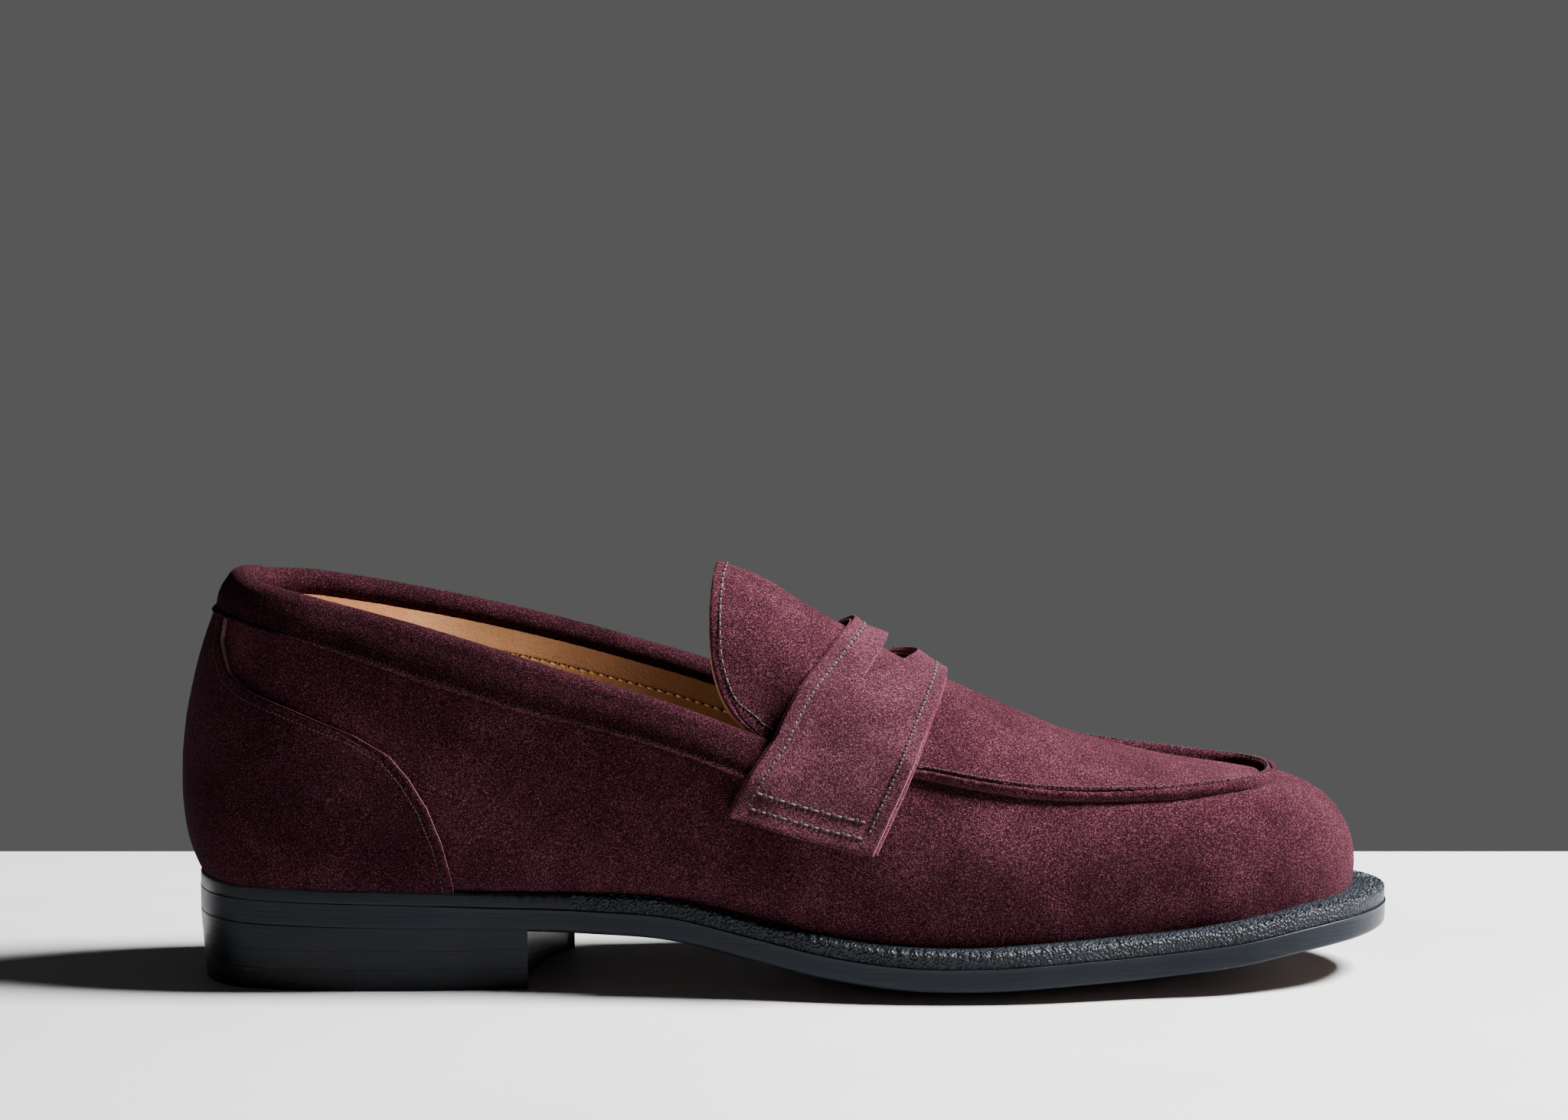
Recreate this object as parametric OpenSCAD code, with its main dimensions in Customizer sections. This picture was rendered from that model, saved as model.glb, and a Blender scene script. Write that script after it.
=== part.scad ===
// Penny loafer, right shoe: a welted suede slip-on with a leather sole.
// +X runs to the toe, +Z is up and -Y is the outer side of the foot. The origin
// lies on the ground under the middle of the shoe.

/* [Size] */
// Length of the sole from the back of the heel to the toe
sole_l = 302.5; // [285:0.5:320]
// Stretch of every width
width_scale = 1; // [0.94:0.01:1.06]

/* [Upper] */
// Thickness of the suede
suede_t = 1.5; // [1.2:0.1:1.8]
// Thickness of the toe puff and the heel stiffener
stiffener_t = 1.1; // [0.8:0.1:1.3]
// Thickness of the lining leather
lining_t = 1; // [0.7:0.1:1.2]
// Height of the collar band where it is tallest
collar_h = 14.9; // [12:0.1:16]
// How far the collar band stands proud
collar_puff = 2.1; // [1.6:0.1:2.8]
// Height of the raised seam round the apron
rim_h = 2.6; // [2:0.1:3.5]
// Width of each of the two edges that form the raised seam
rim_w = 1.6; // [1.2:0.1:2.2]

/* [Strap] */
// Thickness of the strap
strap_t = 1.4; // [1.1:0.1:1.7]
// Thickness of the strap's backing
backing_t = 0.9; // [0.6:0.1:1.1]
// Half width of the slot as a share of the half width of the apron
slot_reach = 0.58; // [0.35:0.01:0.6]

/* [Sole] */
// Thickness of the welt and of the rand round the heel seat
welt_t = 4.2; // [3:0.1:4.6]
// Thickness of the outsole at its edge
outsole_t = 5.8; // [5.2:0.1:6.2]
// Thickness of the insole
insole_t = 2.8; // [2.2:0.1:3]
// Thickness of the sock over the insole
sock_t = 0.9; // [0.7:0.1:1.1]

/* [Heel] */
// Length of the heel block along its outer side
heel_l = 85; // [80:1:90]
// Height of the top piece that meets the ground
top_piece_t = 5.5; // [4.5:0.1:6]
// Height of the lift above the top piece
lift_2_t = 4.7; // [4:0.1:5.5]
// Length of the rubber tip along the outer side
tip_l = 42; // [35:1:50]
// How far the heel block tapers in from top to bottom
heel_taper = 1.3; // [0.5:0.1:2]

/* [Thread] */
// Diameter of the upper's thread
thread_d = 0.6; // [0.5:0.05:0.7]
// Diameter of the waxed thread that holds the welt and the outsole
welt_thread_d = 1.2; // [1:0.1:1.4]

/* [Hidden] */

suede = "#5b2238";
suede_dark = "#431828";
tan_leather = "#c99a63";
edge_black = "#1a1d24";
thread_pale = "#b98a94";

table_l = 302.5;
// How far the back of the upper stands out behind the heel
overhang = 2.5;
mid_x = (sole_l - overhang) / 2;
stretch_x = sole_l / table_l;
clear = 0.15;
counter_top = suede_t - 0.1;

// The shoe is drawn from 24 stations that run round it from the back of the heel, along the
// outer side to the toe and back along the inner side. The side stations are 30 mm apart.
pitch_x = 30;
turns = 24;
toe_t = 12;
// One row each: sole edge x and y, welt width, top line x, y and z, the way outward in
// degrees, then how far the wall's foot leans out and rises and its crown leans out and drops.
STATIONS = [
    [0.2, 0, 2.7, 10.5, 0, 101.5, 180, 10, 14, 13, 24],
    [8, -24, 2.2, 15.5, -12.5, 100.3, 222, 8.4, 14, 9.4, 24],
    [30, -32.5, 1, 30, -21.5, 97.4, 270, 6.5, 14, 8, 24],
    [60, -33.3, 1, 60, -27.5, 90, 270, 6.5, 13, 6, 22],
    [90, -30.3, 1.5, 90, -31, 80.9, 270, 8.5, 13, 4, 20],
    [120, -35.7, 3, 120, -32.6, 71.9, 270, 8, 13, 3.5, 17],
    [150, -43.7, 4.5, 150, -32.8, 61.6, 270, 5, 12, 6, 13],
    [180, -49.6, 5.5, 180, -35.5, 55.6, 270, 3.5, 12, 8.5, 11],
    [210, -49.4, 6, 210, -36.3, 50.3, 270, 3, 12, 9, 9],
    [240, -42.6, 6.5, 240, -31, 48.8, 280, 2.5, 12, 10, 6],
    [268, -36.5, 7.5, 261, -23, 49.5, 295, 2, 13, 12, 3],
    [292.5, -21, 8.2, 269.9, -11.5, 49.6, 322, 2.5, 14, 15.4, 1.8],
    [302.5, 3, 8.5, 272.6, 3, 49.9, 359, 3, 14.5, 16.4, 1.2],
    [294, 26, 8.2, 270.2, 17.5, 49.6, 398, 2.5, 14, 15.4, 1.8],
    [270, 40.5, 7.5, 262, 28.5, 49.3, 427, 2, 13, 12, 3],
    [240, 47, 6.5, 240, 34, 51.3, 440, 2.5, 12, 10, 6],
    [210, 50, 6, 210, 37, 55.4, 450, 3, 13, 9, 9],
    [180, 45.5, 5, 180, 35.5, 62.2, 450, 4, 13, 8, 12],
    [150, 35, 4, 150, 33, 69, 450, 7, 14, 6, 16],
    [120, 27.8, 2.5, 120, 32.6, 78, 450, 11, 14, 5, 22],
    [90, 28, 1.5, 90, 31, 86.5, 450, 10, 14, 5, 24],
    [60, 32.3, 1, 60, 27.5, 93.8, 450, 7, 13, 6, 24],
    [30, 32.3, 1, 30, 21.5, 99.7, 450, 6.5, 14, 8, 24],
    [8, 24, 2.2, 15.5, 12.5, 101.3, 498, 8.4, 14, 9.4, 24]
];
// Heights every 20 mm from the back of the heel: top of the outsole, how far the outsole's
// underside bellies below its edge, and, from the tongue's tip on, the crest of the upper.
profile_step = 20;
OUTSOLE_TOP = [22.8, 22.4, 22.1, 21.6, 20.6, 20, 19.2, 15.3, 11.2, 9, 8.9, 9.9, 10.9, 12.8, 15.8,
    17.7, 18];
BELLY = [0, 0, 0, 0, 0, 0, 0.5, 1.3, 2.4, 3.15, 3.05, 2.8, 2.6, 2.3, 2, 1.6, 1.4];
crest_x0 = 120;
CREST = [106, 101, 90.3, 79, 69.8, 61.4, 55.6, 51.8, 49];
arch_power = 1.9;

// Depths of the layers below the outer face of the suede
stiffener_d = suede_t + 0.1;
lining_d = stiffener_d + stiffener_t + 0.1;
inside_d = lining_d + lining_t;

// ---- curves ----
function blend4(a, b, c, d, u) =
    b + 0.5 * u * (c - a + u * (2 * a - 5 * b + 4 * c - d + u * (3 * (b - c) + d - a)));
function clamped(list, i) = list[max(0, min(len(list) - 1, i))];
function spline(list, u) = let (i = floor(u))
    blend4(clamped(list, i - 1), clamped(list, i), clamped(list, i + 1), clamped(list, i + 2), u - i);
function station(i) = STATIONS[((i % turns) + turns) % turns];
function bearing(i) = [cos(station(i)[6]), sin(station(i)[6]), 0];
function around(t) = let (i = floor(t))
    blend4(station(i - 1), station(i), station(i + 1), station(i + 2), t - i);
function outward(t) = let (i = floor(t),
    v = blend4(bearing(i - 1), bearing(i), bearing(i + 1), bearing(i + 2), t - i)) v / norm(v);
function unit(v) = v / norm(v);
function mix(a, b, u) = a + u * (b - a);
function steps(a, b, n) = [for (i = [0:n]) mix(a, b, i / n)];
function sized(p) = [p[0] * stretch_x, p[1] * width_scale, p[2]];
function ground(x) = x / stretch_x / profile_step;
function outsole_top(x) = spline(OUTSOLE_TOP, ground(x));
function welt_top(x) = outsole_top(x) + welt_t;
function crest(x) = spline(CREST, (x / stretch_x - crest_x0) / profile_step);

// ---- surfaces of the upper ----
// A point on the sole's edge, moved outward by grow
function edge(t, grow) = let (r = around(t)) sized([r[0], r[1], 0]) + grow * outward(t);
// The line where the upper meets the welt, moved outward by grow
function feather(t, grow) = edge(t, grow - around(t)[2]);
function top_line(t) = let (r = around(t)) sized([r[3], r[4], r[5]]);
function wall(t, s) = let (r = around(t), n = outward(t), f = feather(t, 0),
    a = [f[0], f[1], welt_top(f[0]) + clear], d = top_line(t),
    b = a + r[7] * n + [0, 0, r[8]], c = d + r[9] * n - [0, 0, r[10]], q = 1 - s)
    q * q * q * a + 3 * q * q * s * b + 3 * q * s * s * c + s * s * s * d;
nudge = 0.01;
function wall_normal(t, s) = unit(cross(wall(t + nudge, s) - wall(t - nudge, s),
    wall(t, s + nudge) - wall(t, s - nudge)));
function wall_at(t, s, d) = wall(t, s) + d * wall_normal(t, s);
// The arch over the foot: u runs from the outer top line to the inner one
function arch(t, u) = let (a = top_line(t), b = top_line(turns - t), p = mix(a, b, u),
    c = crest(p[0]), drop = c - mix(a[2], b[2], u))
    [p[0], p[1], c - drop * pow(abs(2 * u - 1), arch_power)];
function arch_normal(t, u) = unit(cross(arch(t + nudge, u) - arch(t - nudge, u),
    arch(t, u + nudge) - arch(t, u - nudge)));
function arch_at(t, u, d) = arch(t, u) + d * arch_normal(t, u);
// Across the whole shoe at distance x: q is 0 on the crest, 1 at the top line, 2 at the welt
function over(x, q, d) = let (t = 1 + x / pitch_x, w = abs(q))
    w <= 1 ? arch_at(t, 0.5 + q / 2, d)
    : wall_at(q < 0 ? t : turns - t, 2 - w, d);

// ---- solids ----
function flat(rows) = [for (r = rows) each r];
function quad(a, b, c, d) = [[a, b, c], [a, c, d]];
// A closed solid between two grids of points; ring joins the last row to the first
module shell(outer, inner, ring = false) {
    n = len(outer);
    m = len(outer[0]);
    rows = ring ? n - 1 : n - 2;
    function o(i, j) = (i % n) * m + j;
    function k(i, j) = n * m + (i % n) * m + j;
    faces = concat(
        [for (i = [0:rows], j = [0:m - 2]) each quad(o(i, j), o(i, j + 1), o(i + 1, j + 1), o(i + 1, j))],
        [for (i = [0:rows], j = [0:m - 2]) each quad(k(i, j), k(i + 1, j), k(i + 1, j + 1), k(i, j + 1))],
        [for (i = [0:rows]) each quad(o(i, 0), o(i + 1, 0), k(i + 1, 0), k(i, 0))],
        [for (i = [0:rows]) each quad(o(i, m - 1), k(i, m - 1), k(i + 1, m - 1), o(i + 1, m - 1))],
        ring ? [] : [for (j = [0:m - 2]) each quad(o(0, j), k(0, j), k(0, j + 1), o(0, j + 1))],
        ring ? [] : [for (j = [0:m - 2])
            each quad(o(n - 1, j), o(n - 1, j + 1), k(n - 1, j + 1), k(n - 1, j))]);
    translate([-mid_x, 0, 0]) polyhedron(concat(flat(outer), flat(inner)), faces);
}
// A patch of the wall between two depths, with t from start(s) to stop(s)
module wall_patch(starts, stops, ss, rows, d_out, d_in) {
    function grid(d) = [for (f = steps(0, 1, rows)) [for (j = [0:len(ss) - 1])
        wall_at(mix(starts[j], stops[j], f), ss[j], d)]];
    shell(grid(d_out), grid(d_in));
}
// A patch of the arch between two depths
module arch_patch(ts, us, d_out, d_in) {
    shell([for (t = ts) [for (u = us) arch_at(t, u, d_out)]],
        [for (t = ts) [for (u = us) arch_at(t, u, d_in)]]);
}
// A band of the sole stack between two lines of the plan, from top z to bottom z
module band(ts, grow_out, grow_in, lift_top, lift_bottom) {
    function side(t, g, lift) = let (p = feather(t, g)) [p[0], p[1], lift(p[0])];
    shell([for (t = ts) [for (g = [grow_out(t), grow_in(t)]) side(t, g, lift_top)]],
        [for (t = ts) [for (g = [grow_out(t), grow_in(t)]) side(t, g, lift_bottom)]]);
}
// A full-width layer of the sole stack with its edge at line(t)
module layer(ts, columns, line, top, bottom) {
    function row(t, z) = [for (u = steps(0, 1, columns))
        let (p = mix(line(t), line(turns - t), u)) [p[0], p[1], z(p[0], u)]];
    shell([for (t = ts) row(t, top)], [for (t = ts) row(t, bottom)]);
}
// A four-sided thread laid along points, each given with the surface's normal
module thread(path, d) {
    r = d / 2;
    last = len(path) - 1;
    function run(i) = unit(path[min(i + 1, last)][0] - path[max(i - 1, 0)][0]);
    function side(i) = unit(cross(run(i), path[i][1]));
    function across(i, h) = [path[i][0] + r * side(i) + h * path[i][1],
        path[i][0] - r * side(i) + h * path[i][1]];
    shell([for (i = [0:last]) across(i, d)], [for (i = [0:last]) across(i, 0)]);
}
function on_wall(t, s, d) = [wall_at(t, s, d), wall_normal(t, s)];
function on_arch(t, u, d) = [arch_at(t, u, d), arch_normal(t, u)];

// ---- seams of the upper ----
// Where the counter ends, from the welt up to the collar
seam_s = [0.01, 0.12, 0.25, 0.38, 0.48, 0.55, 0.6, 0.64, 0.68, 0.72, 0.8, 0.88];
seam_t = [3.23, 3.2, 3.14, 3.03, 2.88, 2.72, 2.43, 1.95, 1.39, 1.03, 0.72, 0.62];
under_lap = 0.25;
// The collar band is narrower at the back and towards the strap than at its tallest
COLLAR_SHARE = [[0, 0.72], [1, 0.72], [1.73, 0.8], [2.4, 0.9], [3, 1], [3.8, 0.98], [4.4, 0.89],
    [5.8, 0.84]];
function collar_s(t) = 1 - 0.3 * collar_h * lookup(abs(t), COLLAR_SHARE) / around(t)[10];
// The collar runs round the back from one end of the strap to the other
collar_t = 5.72;
rim_t = 7.05;
apron_t = 6.35;
// The free part of the tongue, as x of its rear and front edges across the arch
flap_q = 0.84;
flap_gap = 3;
FLAP_REAR = [132, 130.6, 130.4, 131.6, 134.5];
FLAP_FRONT = [155, 153.5, 149.5, 144, 137.8];
// The strap's rear and front edges, at every half step of q from the crest outward
STRAP_REAR = [165, 160, 146.6, 134.6];
STRAP_FRONT = [189.2, 187, 180.5, 170.9];
strap_q = 1.5;
strap_d = 0.5;
// How much shorter the strap is along its rear edge than along its front edge
strap_slant = 0.03;
slot_rear = 0.35;
slot_front = 0.66;

function seam_at(s) = spline(seam_t, lookup(s, [for (i = [0:len(seam_s) - 1]) [seam_s[i], i]]));
function mirror_spline(list, u) = spline(concat([list[1]], list), abs(u) + 1);
function strap_x(q, v) = mix(mirror_spline(STRAP_REAR, 2 * q), mirror_spline(STRAP_FRONT, 2 * q), v);
function on_strap(q, v, d) = let (near = q * (1 - strap_slant * (1 - v)))
    over(strap_x(near, v), near, d);
function flap_x(q, v) = let (u = 4 * abs(q) / flap_q)
    mix(mirror_spline(FLAP_REAR, u), mirror_spline(FLAP_FRONT, u), v);

function arch_side(t) = t <= toe_t ? arch_normal(min(t, 11.9), 0.03)
    : arch_normal(min(turns - t, 11.9), 0.97);
function rim_normal(t) = unit(wall_normal(t, 0.98) + arch_side(t));
// A point beside the raised seam: w across it, inward, and h above it
function rim_at(t, w, h) = let (n = rim_normal(t),
    out = unit(cross(top_line(t + nudge) - top_line(t - nudge), n))) top_line(t) - w * out + h * n;

// ---- upper ----
module skirt() color(suede) {
    ss = concat(seam_s, [0.97]);
    starts = [for (s = ss) seam_at(s) - under_lap];
    wall_patch(starts, [for (t = starts) turns - t], ss, 52, 0, -suede_t);
    rim(-rim_w, -0.1);
}
// One of the two turned-up edges that meet in the raised seam
module rim(from, to) {
    ts = steps(rim_t, turns - rim_t, 44);
    rim_foot = -0.3;
    shell([for (t = ts) [rim_at(t, from, rim_h), rim_at(t, to, rim_h)]],
        [for (t = ts) [rim_at(t, from, rim_foot), rim_at(t, to, rim_foot)]]);
}
module apron() color(suede) {
    arch_patch(concat(steps(apron_t, 9, 12), steps(9.4, 11.92, 8)), steps(0.035, 0.965, 12), 0, -suede_t);
    rim(0.1, rim_w);
}
module heel_counter() color(suede) {
    ss = concat(seam_s, [0.89]);
    ts = [for (s = ss) seam_at(s)];
    wall_patch(-ts, ts, ss, 22, counter_top, clear);
}
module collar() {
    ts = steps(-collar_t, collar_t, 48);
    roll = 1.2;
    tuck = 0.92;
    function side(t, share, d) = wall_at(t, mix(collar_s(t), 1, share), d);
    function top(t, d, up) = wall_at(t, 1, d) + [0, 0, up];
    color(suede_dark) shell([for (t = ts) [side(t, 0, collar_puff - 0.3), side(t, 0.3, collar_puff),
            side(t, 0.75, collar_puff), top(t, 0.8, roll), top(t, -inside_d, roll),
            wall_at(t, tuck, -inside_d - 1.4)]],
        [for (t = ts) [side(t, 0, counter_top + clear), side(t, 0.3, counter_top + clear),
            side(t, 0.75, clear), top(t, clear - 0.3, 0.1), top(t, clear - inside_d, 0.1),
            wall_at(t, tuck, -inside_d - clear)]]);
}
// A layer of the strap, in two parts that meet at both sides of the slot
module strap_layer(reach, low, thick, front, rear) {
    qs = steps(-reach, reach, 30);
    function slot(q) = let (w = abs(q) / slot_reach) w >= 1 ? slot_rear - 0.02
        : mix(slot_front, slot_rear + 0.02, pow(w, 1.6));
    function row(q, d, a, b) = [for (v = steps(a, b, 2)) on_strap(q, v, d)];
    shell([for (q = qs) row(q, low + thick, front, slot(q))], [for (q = qs) row(q, low, front, slot(q))]);
    shell([for (q = qs) row(q, low + thick, slot_rear, rear)], [for (q = qs) row(q, low, slot_rear, rear)]);
}
module strap() color(suede) strap_layer(strap_q, strap_d + backing_t + 0.05, strap_t, 1, 0);
module strap_backing() color(suede_dark) strap_layer(strap_q - 0.02, strap_d, backing_t, 1.03, 0.02);
// A patch of the tongue between two depths, from its rear edge (v = 0) to its front (v = 1)
module tongue_patch(inset, d_out, d_in) {
    qs = steps(-flap_q + inset, flap_q - inset, 18);
    function row(q, d) = [for (v = steps(1, inset, 4)) over(flap_x(q, v), q, d)];
    shell([for (q = qs) row(q, d_out)], [for (q = qs) row(q, d_in)]);
}
module tongue() color(suede) tongue_patch(0, 0, -suede_t);
module tongue_lining() color(tan_leather) tongue_patch(0.01, -suede_t - 0.05, -suede_t - 0.05 - lining_t);
module tongue_root() {
    qs = steps(-flap_q, flap_q, 18);
    front = pitch_x * (apron_t - 1) - 0.5;
    function row(q, d) = [for (v = [1, 0.5, 0]) over(mix(flap_x(q, 1) + flap_gap, front, v), q, d)];
    color(suede) shell([for (q = qs) row(q, 0)], [for (q = qs) row(q, -suede_t)]);
}

// ---- lining and stiffeners ----
lining_ss = [0.02, 0.2, 0.4, 0.6, 0.8, 0.93];
module lining_wall(from, to, rows) {
    wall_patch([for (s = lining_ss) from], [for (s = lining_ss) to], lining_ss, rows, -lining_d, -inside_d);
}
vamp_t = 5.6;
grip_t = 2.83;
module vamp_lining() color(tan_leather) {
    lining_wall(vamp_t, turns - vamp_t, 40);
    arch_patch(concat(steps(6.5, 9, 8), steps(9.4, 11.8, 7)), steps(0.1, 0.9, 10), -lining_d, -inside_d);
}
module quarter_lining_outer() color(tan_leather) lining_wall(grip_t + 0.02, vamp_t - 0.02, 8);
module quarter_lining_inner() color(tan_leather)
    lining_wall(turns - vamp_t + 0.02, turns - grip_t - 0.02, 8);
module heel_grip() color("#b9793f") lining_wall(-grip_t, grip_t, 22);
puff_reach = 2.4;
stiffener_reach = 3;
module stiffener(from, to, ss, rows)
    wall_patch([for (s = ss) from], [for (s = ss) to], ss, rows, -stiffener_d, -stiffener_d - stiffener_t);
module toe_puff() color("#d8cdb4")
    stiffener(toe_t - puff_reach, toe_t + puff_reach, [0.03, 0.25, 0.5, 0.75, 0.93], 20);
module heel_stiffener() color("#d8cdb4")
    stiffener(-stiffener_reach, stiffener_reach, [0.03, 0.2, 0.4, 0.6, 0.78], 24);

// ---- sole stack ----
// The layers close to the two ends of the shoe but stop a hair short of the centre line
end_gap = 0.04;
sole_ts = concat(steps(end_gap, 3, 8), steps(3.5, 9, 11), steps(9.4, toe_t - end_gap, 8));
module insole() {
    inset = -inside_d - 0.6;
    layer(sole_ts, 4, function(t) feather(t, inset), function(x, u) welt_top(x) + 0.2 + insole_t,
        function(x, u) welt_top(x) + 0.2);
}
module sock() {
    base = 0.25 + insole_t;
    layer(sole_ts, 4, function(t) feather(t, -inside_d - 0.8), function(x, u) welt_top(x) + base + sock_t,
        function(x, u) welt_top(x) + base);
}
module heel_pad() {
    base = 0.3 + insole_t + sock_t;
    layer(steps(0.3, 3.4, 9), 6, function(t) feather(t, -inside_d - 4),
        function(x, u) welt_top(x) + base + 3 * pow(sin(180 * mix(0.03, 0.97, u)), 0.4),
        function(x, u) welt_top(x) + base);
}
rib_out = -4.9;
rib_w = 1.6;
front_ts = concat(steps(4.2, 9, 12), steps(9.4, 14.6, 14), steps(15, 19.8, 12));
module insole_rib() color("#e6dcc3")
    band(front_ts, function(t) rib_out, function(t) rib_out - rib_w,
        function(x) welt_top(x) + 0.15, function(x) outsole_top(x) + 0.6);
module welt() color(edge_black)
    band(front_ts, function(t) around(t)[2], function(t) rib_out + 0.1,
        function(x) welt_top(x), function(x) outsole_top(x) + 0.05);
module heel_rand() color(edge_black)
    band(steps(-4.18, 4.18, 30), function(t) around(t)[2], function(t) -6,
        function(x) welt_top(x), function(x) outsole_top(x) + 0.05);
module cork_filler() color("#a9793f")
    layer(concat(steps(6, 9, 6), steps(9.4, 11.7, 6)), 4, function(t) feather(t, rib_out - rib_w - 0.3),
        function(x, u) welt_top(x) + 0.1, function(x, u) outsole_top(x) + 0.1);
module shank() {
    half_w = 7;
    shank_t = 1.2;
    function row(x, d) = [for (y = [-half_w, 0, half_w])
        [x, y, outsole_top(x) + 0.9 + d - 0.01 * y * y]];
    xs = steps(48, 146, 14);
    color("#9aa0a6") shell([for (x = xs) row(x, shank_t)], [for (x = xs) row(x, 0)]);
}
function under(x, u) = outsole_top(x) - outsole_t - spline(BELLY, ground(x)) * 4 * u * (1 - u);
module outsole() color(edge_black)
    layer(sole_ts, 6, function(t) edge(t, 0), function(x, u) outsole_top(x), function(x, u) under(x, u));

// ---- heel ----
breast_skew = 9;
breast_hollow = 3;
module placed() translate([-mid_x, 0, 0]) children();
// The plan of the heel block, drawn in by inset all round
module heel_plan(inset) {
    outer_t = 1 + heel_l / pitch_x;
    inner_t = 1 + (heel_l + breast_skew) / pitch_x;
    a = edge(outer_t, -inset);
    b = edge(-inner_t, -inset);
    polygon(concat([for (t = steps(-inner_t, outer_t, 36)) let (p = edge(t, -inset)) [p[0], p[1]]],
        [for (v = [0.15:0.1:0.95])
            [mix(a[0], b[0], v) - 4 * breast_hollow * v * (1 - v), mix(a[1], b[1], v)]]));
}
// One layer of the heel block
module lift(z, h, from_x, to_x) placed() {
    inset = heel_taper * (1 - z / outsole_top(0));
    translate([0, 0, z]) linear_extrude(h) intersection() {
        heel_plan(inset);
        translate([from_x, -60]) square([to_x - from_x, 120]);
    }
}
heel_end = heel_l + breast_skew + 2;
lift_2_z = top_piece_t;
lift_1_z = top_piece_t + lift_2_t;
module heel_lift_1() color(edge_black) intersection() {
    lift(lift_1_z, outsole_top(0) - lift_1_z, -5, heel_end);
    placed() translate([0, 60, 0]) rotate([90, 0, 0]) linear_extrude(120)
        polygon(concat([for (x = steps(-5, heel_end, 25)) [x, under(x, 0) - 0.1]],
            [[heel_end, 0], [-5, 0]]));
}
module heel_lift_2() color(edge_black) lift(lift_2_z, lift_2_t, -5, heel_end);
module top_piece() color(edge_black) lift(0, top_piece_t, tip_l, heel_end);
module heel_tip() color("#101114") lift(0, top_piece_t, -5, tip_l);
module heel_nails() color("#b08d3c") {
    nail_inset = 9;
    for (t = [-3, -2, -1, 0, 1, 2, 3]) let (p = edge(t, -nail_inset))
        placed() translate([p[0], p[1], 2]) cylinder(h = 13, d = 1.8, $fn = 24);
}

// ---- threads ----
module counter_stitching() color(thread_pale)
    for (side = [-1, 1])
        thread([for (s = steps(0.03, 0.86, 30)) on_wall(side * (seam_at(s) - 0.1), s, counter_top + 0.05)],
            thread_d);
module collar_stitching() color(thread_pale)
    thread([for (t = steps(-5.7, 5.7, 60)) on_wall(t, mix(collar_s(t), 1, 0.2), collar_puff + 0.05)],
        thread_d);
module strap_stitching() {
    on = strap_d + backing_t + strap_t + 0.1;
    reach = strap_q - 0.08;
    function dot(q, v) = let (p = on_strap(q, v, on)) [p, unit(on_strap(q, v, on + 1) - p)];
    color(thread_pale) for (v = [0.12, 0.9])
        thread([for (q = steps(-reach, reach, 40)) dot(q, v)], thread_d);
    color(thread_pale) for (q = [-reach, -reach + 0.09, reach - 0.09, reach])
        thread([for (v = steps(0.17, 0.85, 5)) dot(q, v)], thread_d);
}
module tongue_stitching() {
    function dot(q) = let (x = flap_x(q, 0) + 2.5) [over(x, q, 0.05), unit(over(x, q, 1) - over(x, q, 0))];
    color(thread_pale) thread([for (q = steps(-0.74, 0.74, 24)) dot(q)], thread_d);
}
module apron_stitching() color(thread_pale)
    thread([for (t = steps(rim_t + 0.05, turns - rim_t - 0.05, 50))
        [rim_at(t, rim_w / 2, rim_h + 0.05), rim_normal(t)]], thread_d);
module welt_stitching() color("#2b2f38")
    thread([for (t = steps(4.5, 19.5, 80)) let (p = feather(t, around(t)[2] * 0.55))
        [[p[0], p[1], welt_top(p[0]) + 0.05], [0, 0, 1]]], welt_thread_d);
lining_seam_s = 0.81;
module lining_stitching() color("#d8b98a")
    thread([for (t = steps(-5.5, 5.5, 60))
        [wall_at(t, lining_seam_s, -inside_d - 0.05), -wall_normal(t, lining_seam_s)]], thread_d);

skirt();
apron();
heel_counter();
collar();
strap();
strap_backing();
tongue();
tongue_lining();
tongue_root();
vamp_lining();
quarter_lining_outer();
quarter_lining_inner();
heel_grip();
toe_puff();
heel_stiffener();
insole();
insole_rib();
sock();
heel_pad();
cork_filler();
shank();
welt();
heel_rand();
outsole();
heel_lift_1();
heel_lift_2();
top_piece();
heel_tip();
heel_nails();
counter_stitching();
collar_stitching();
strap_stitching();
tongue_stitching();
apron_stitching();
welt_stitching();
lining_stitching();
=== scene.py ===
import math
from contextlib import contextmanager

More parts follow.
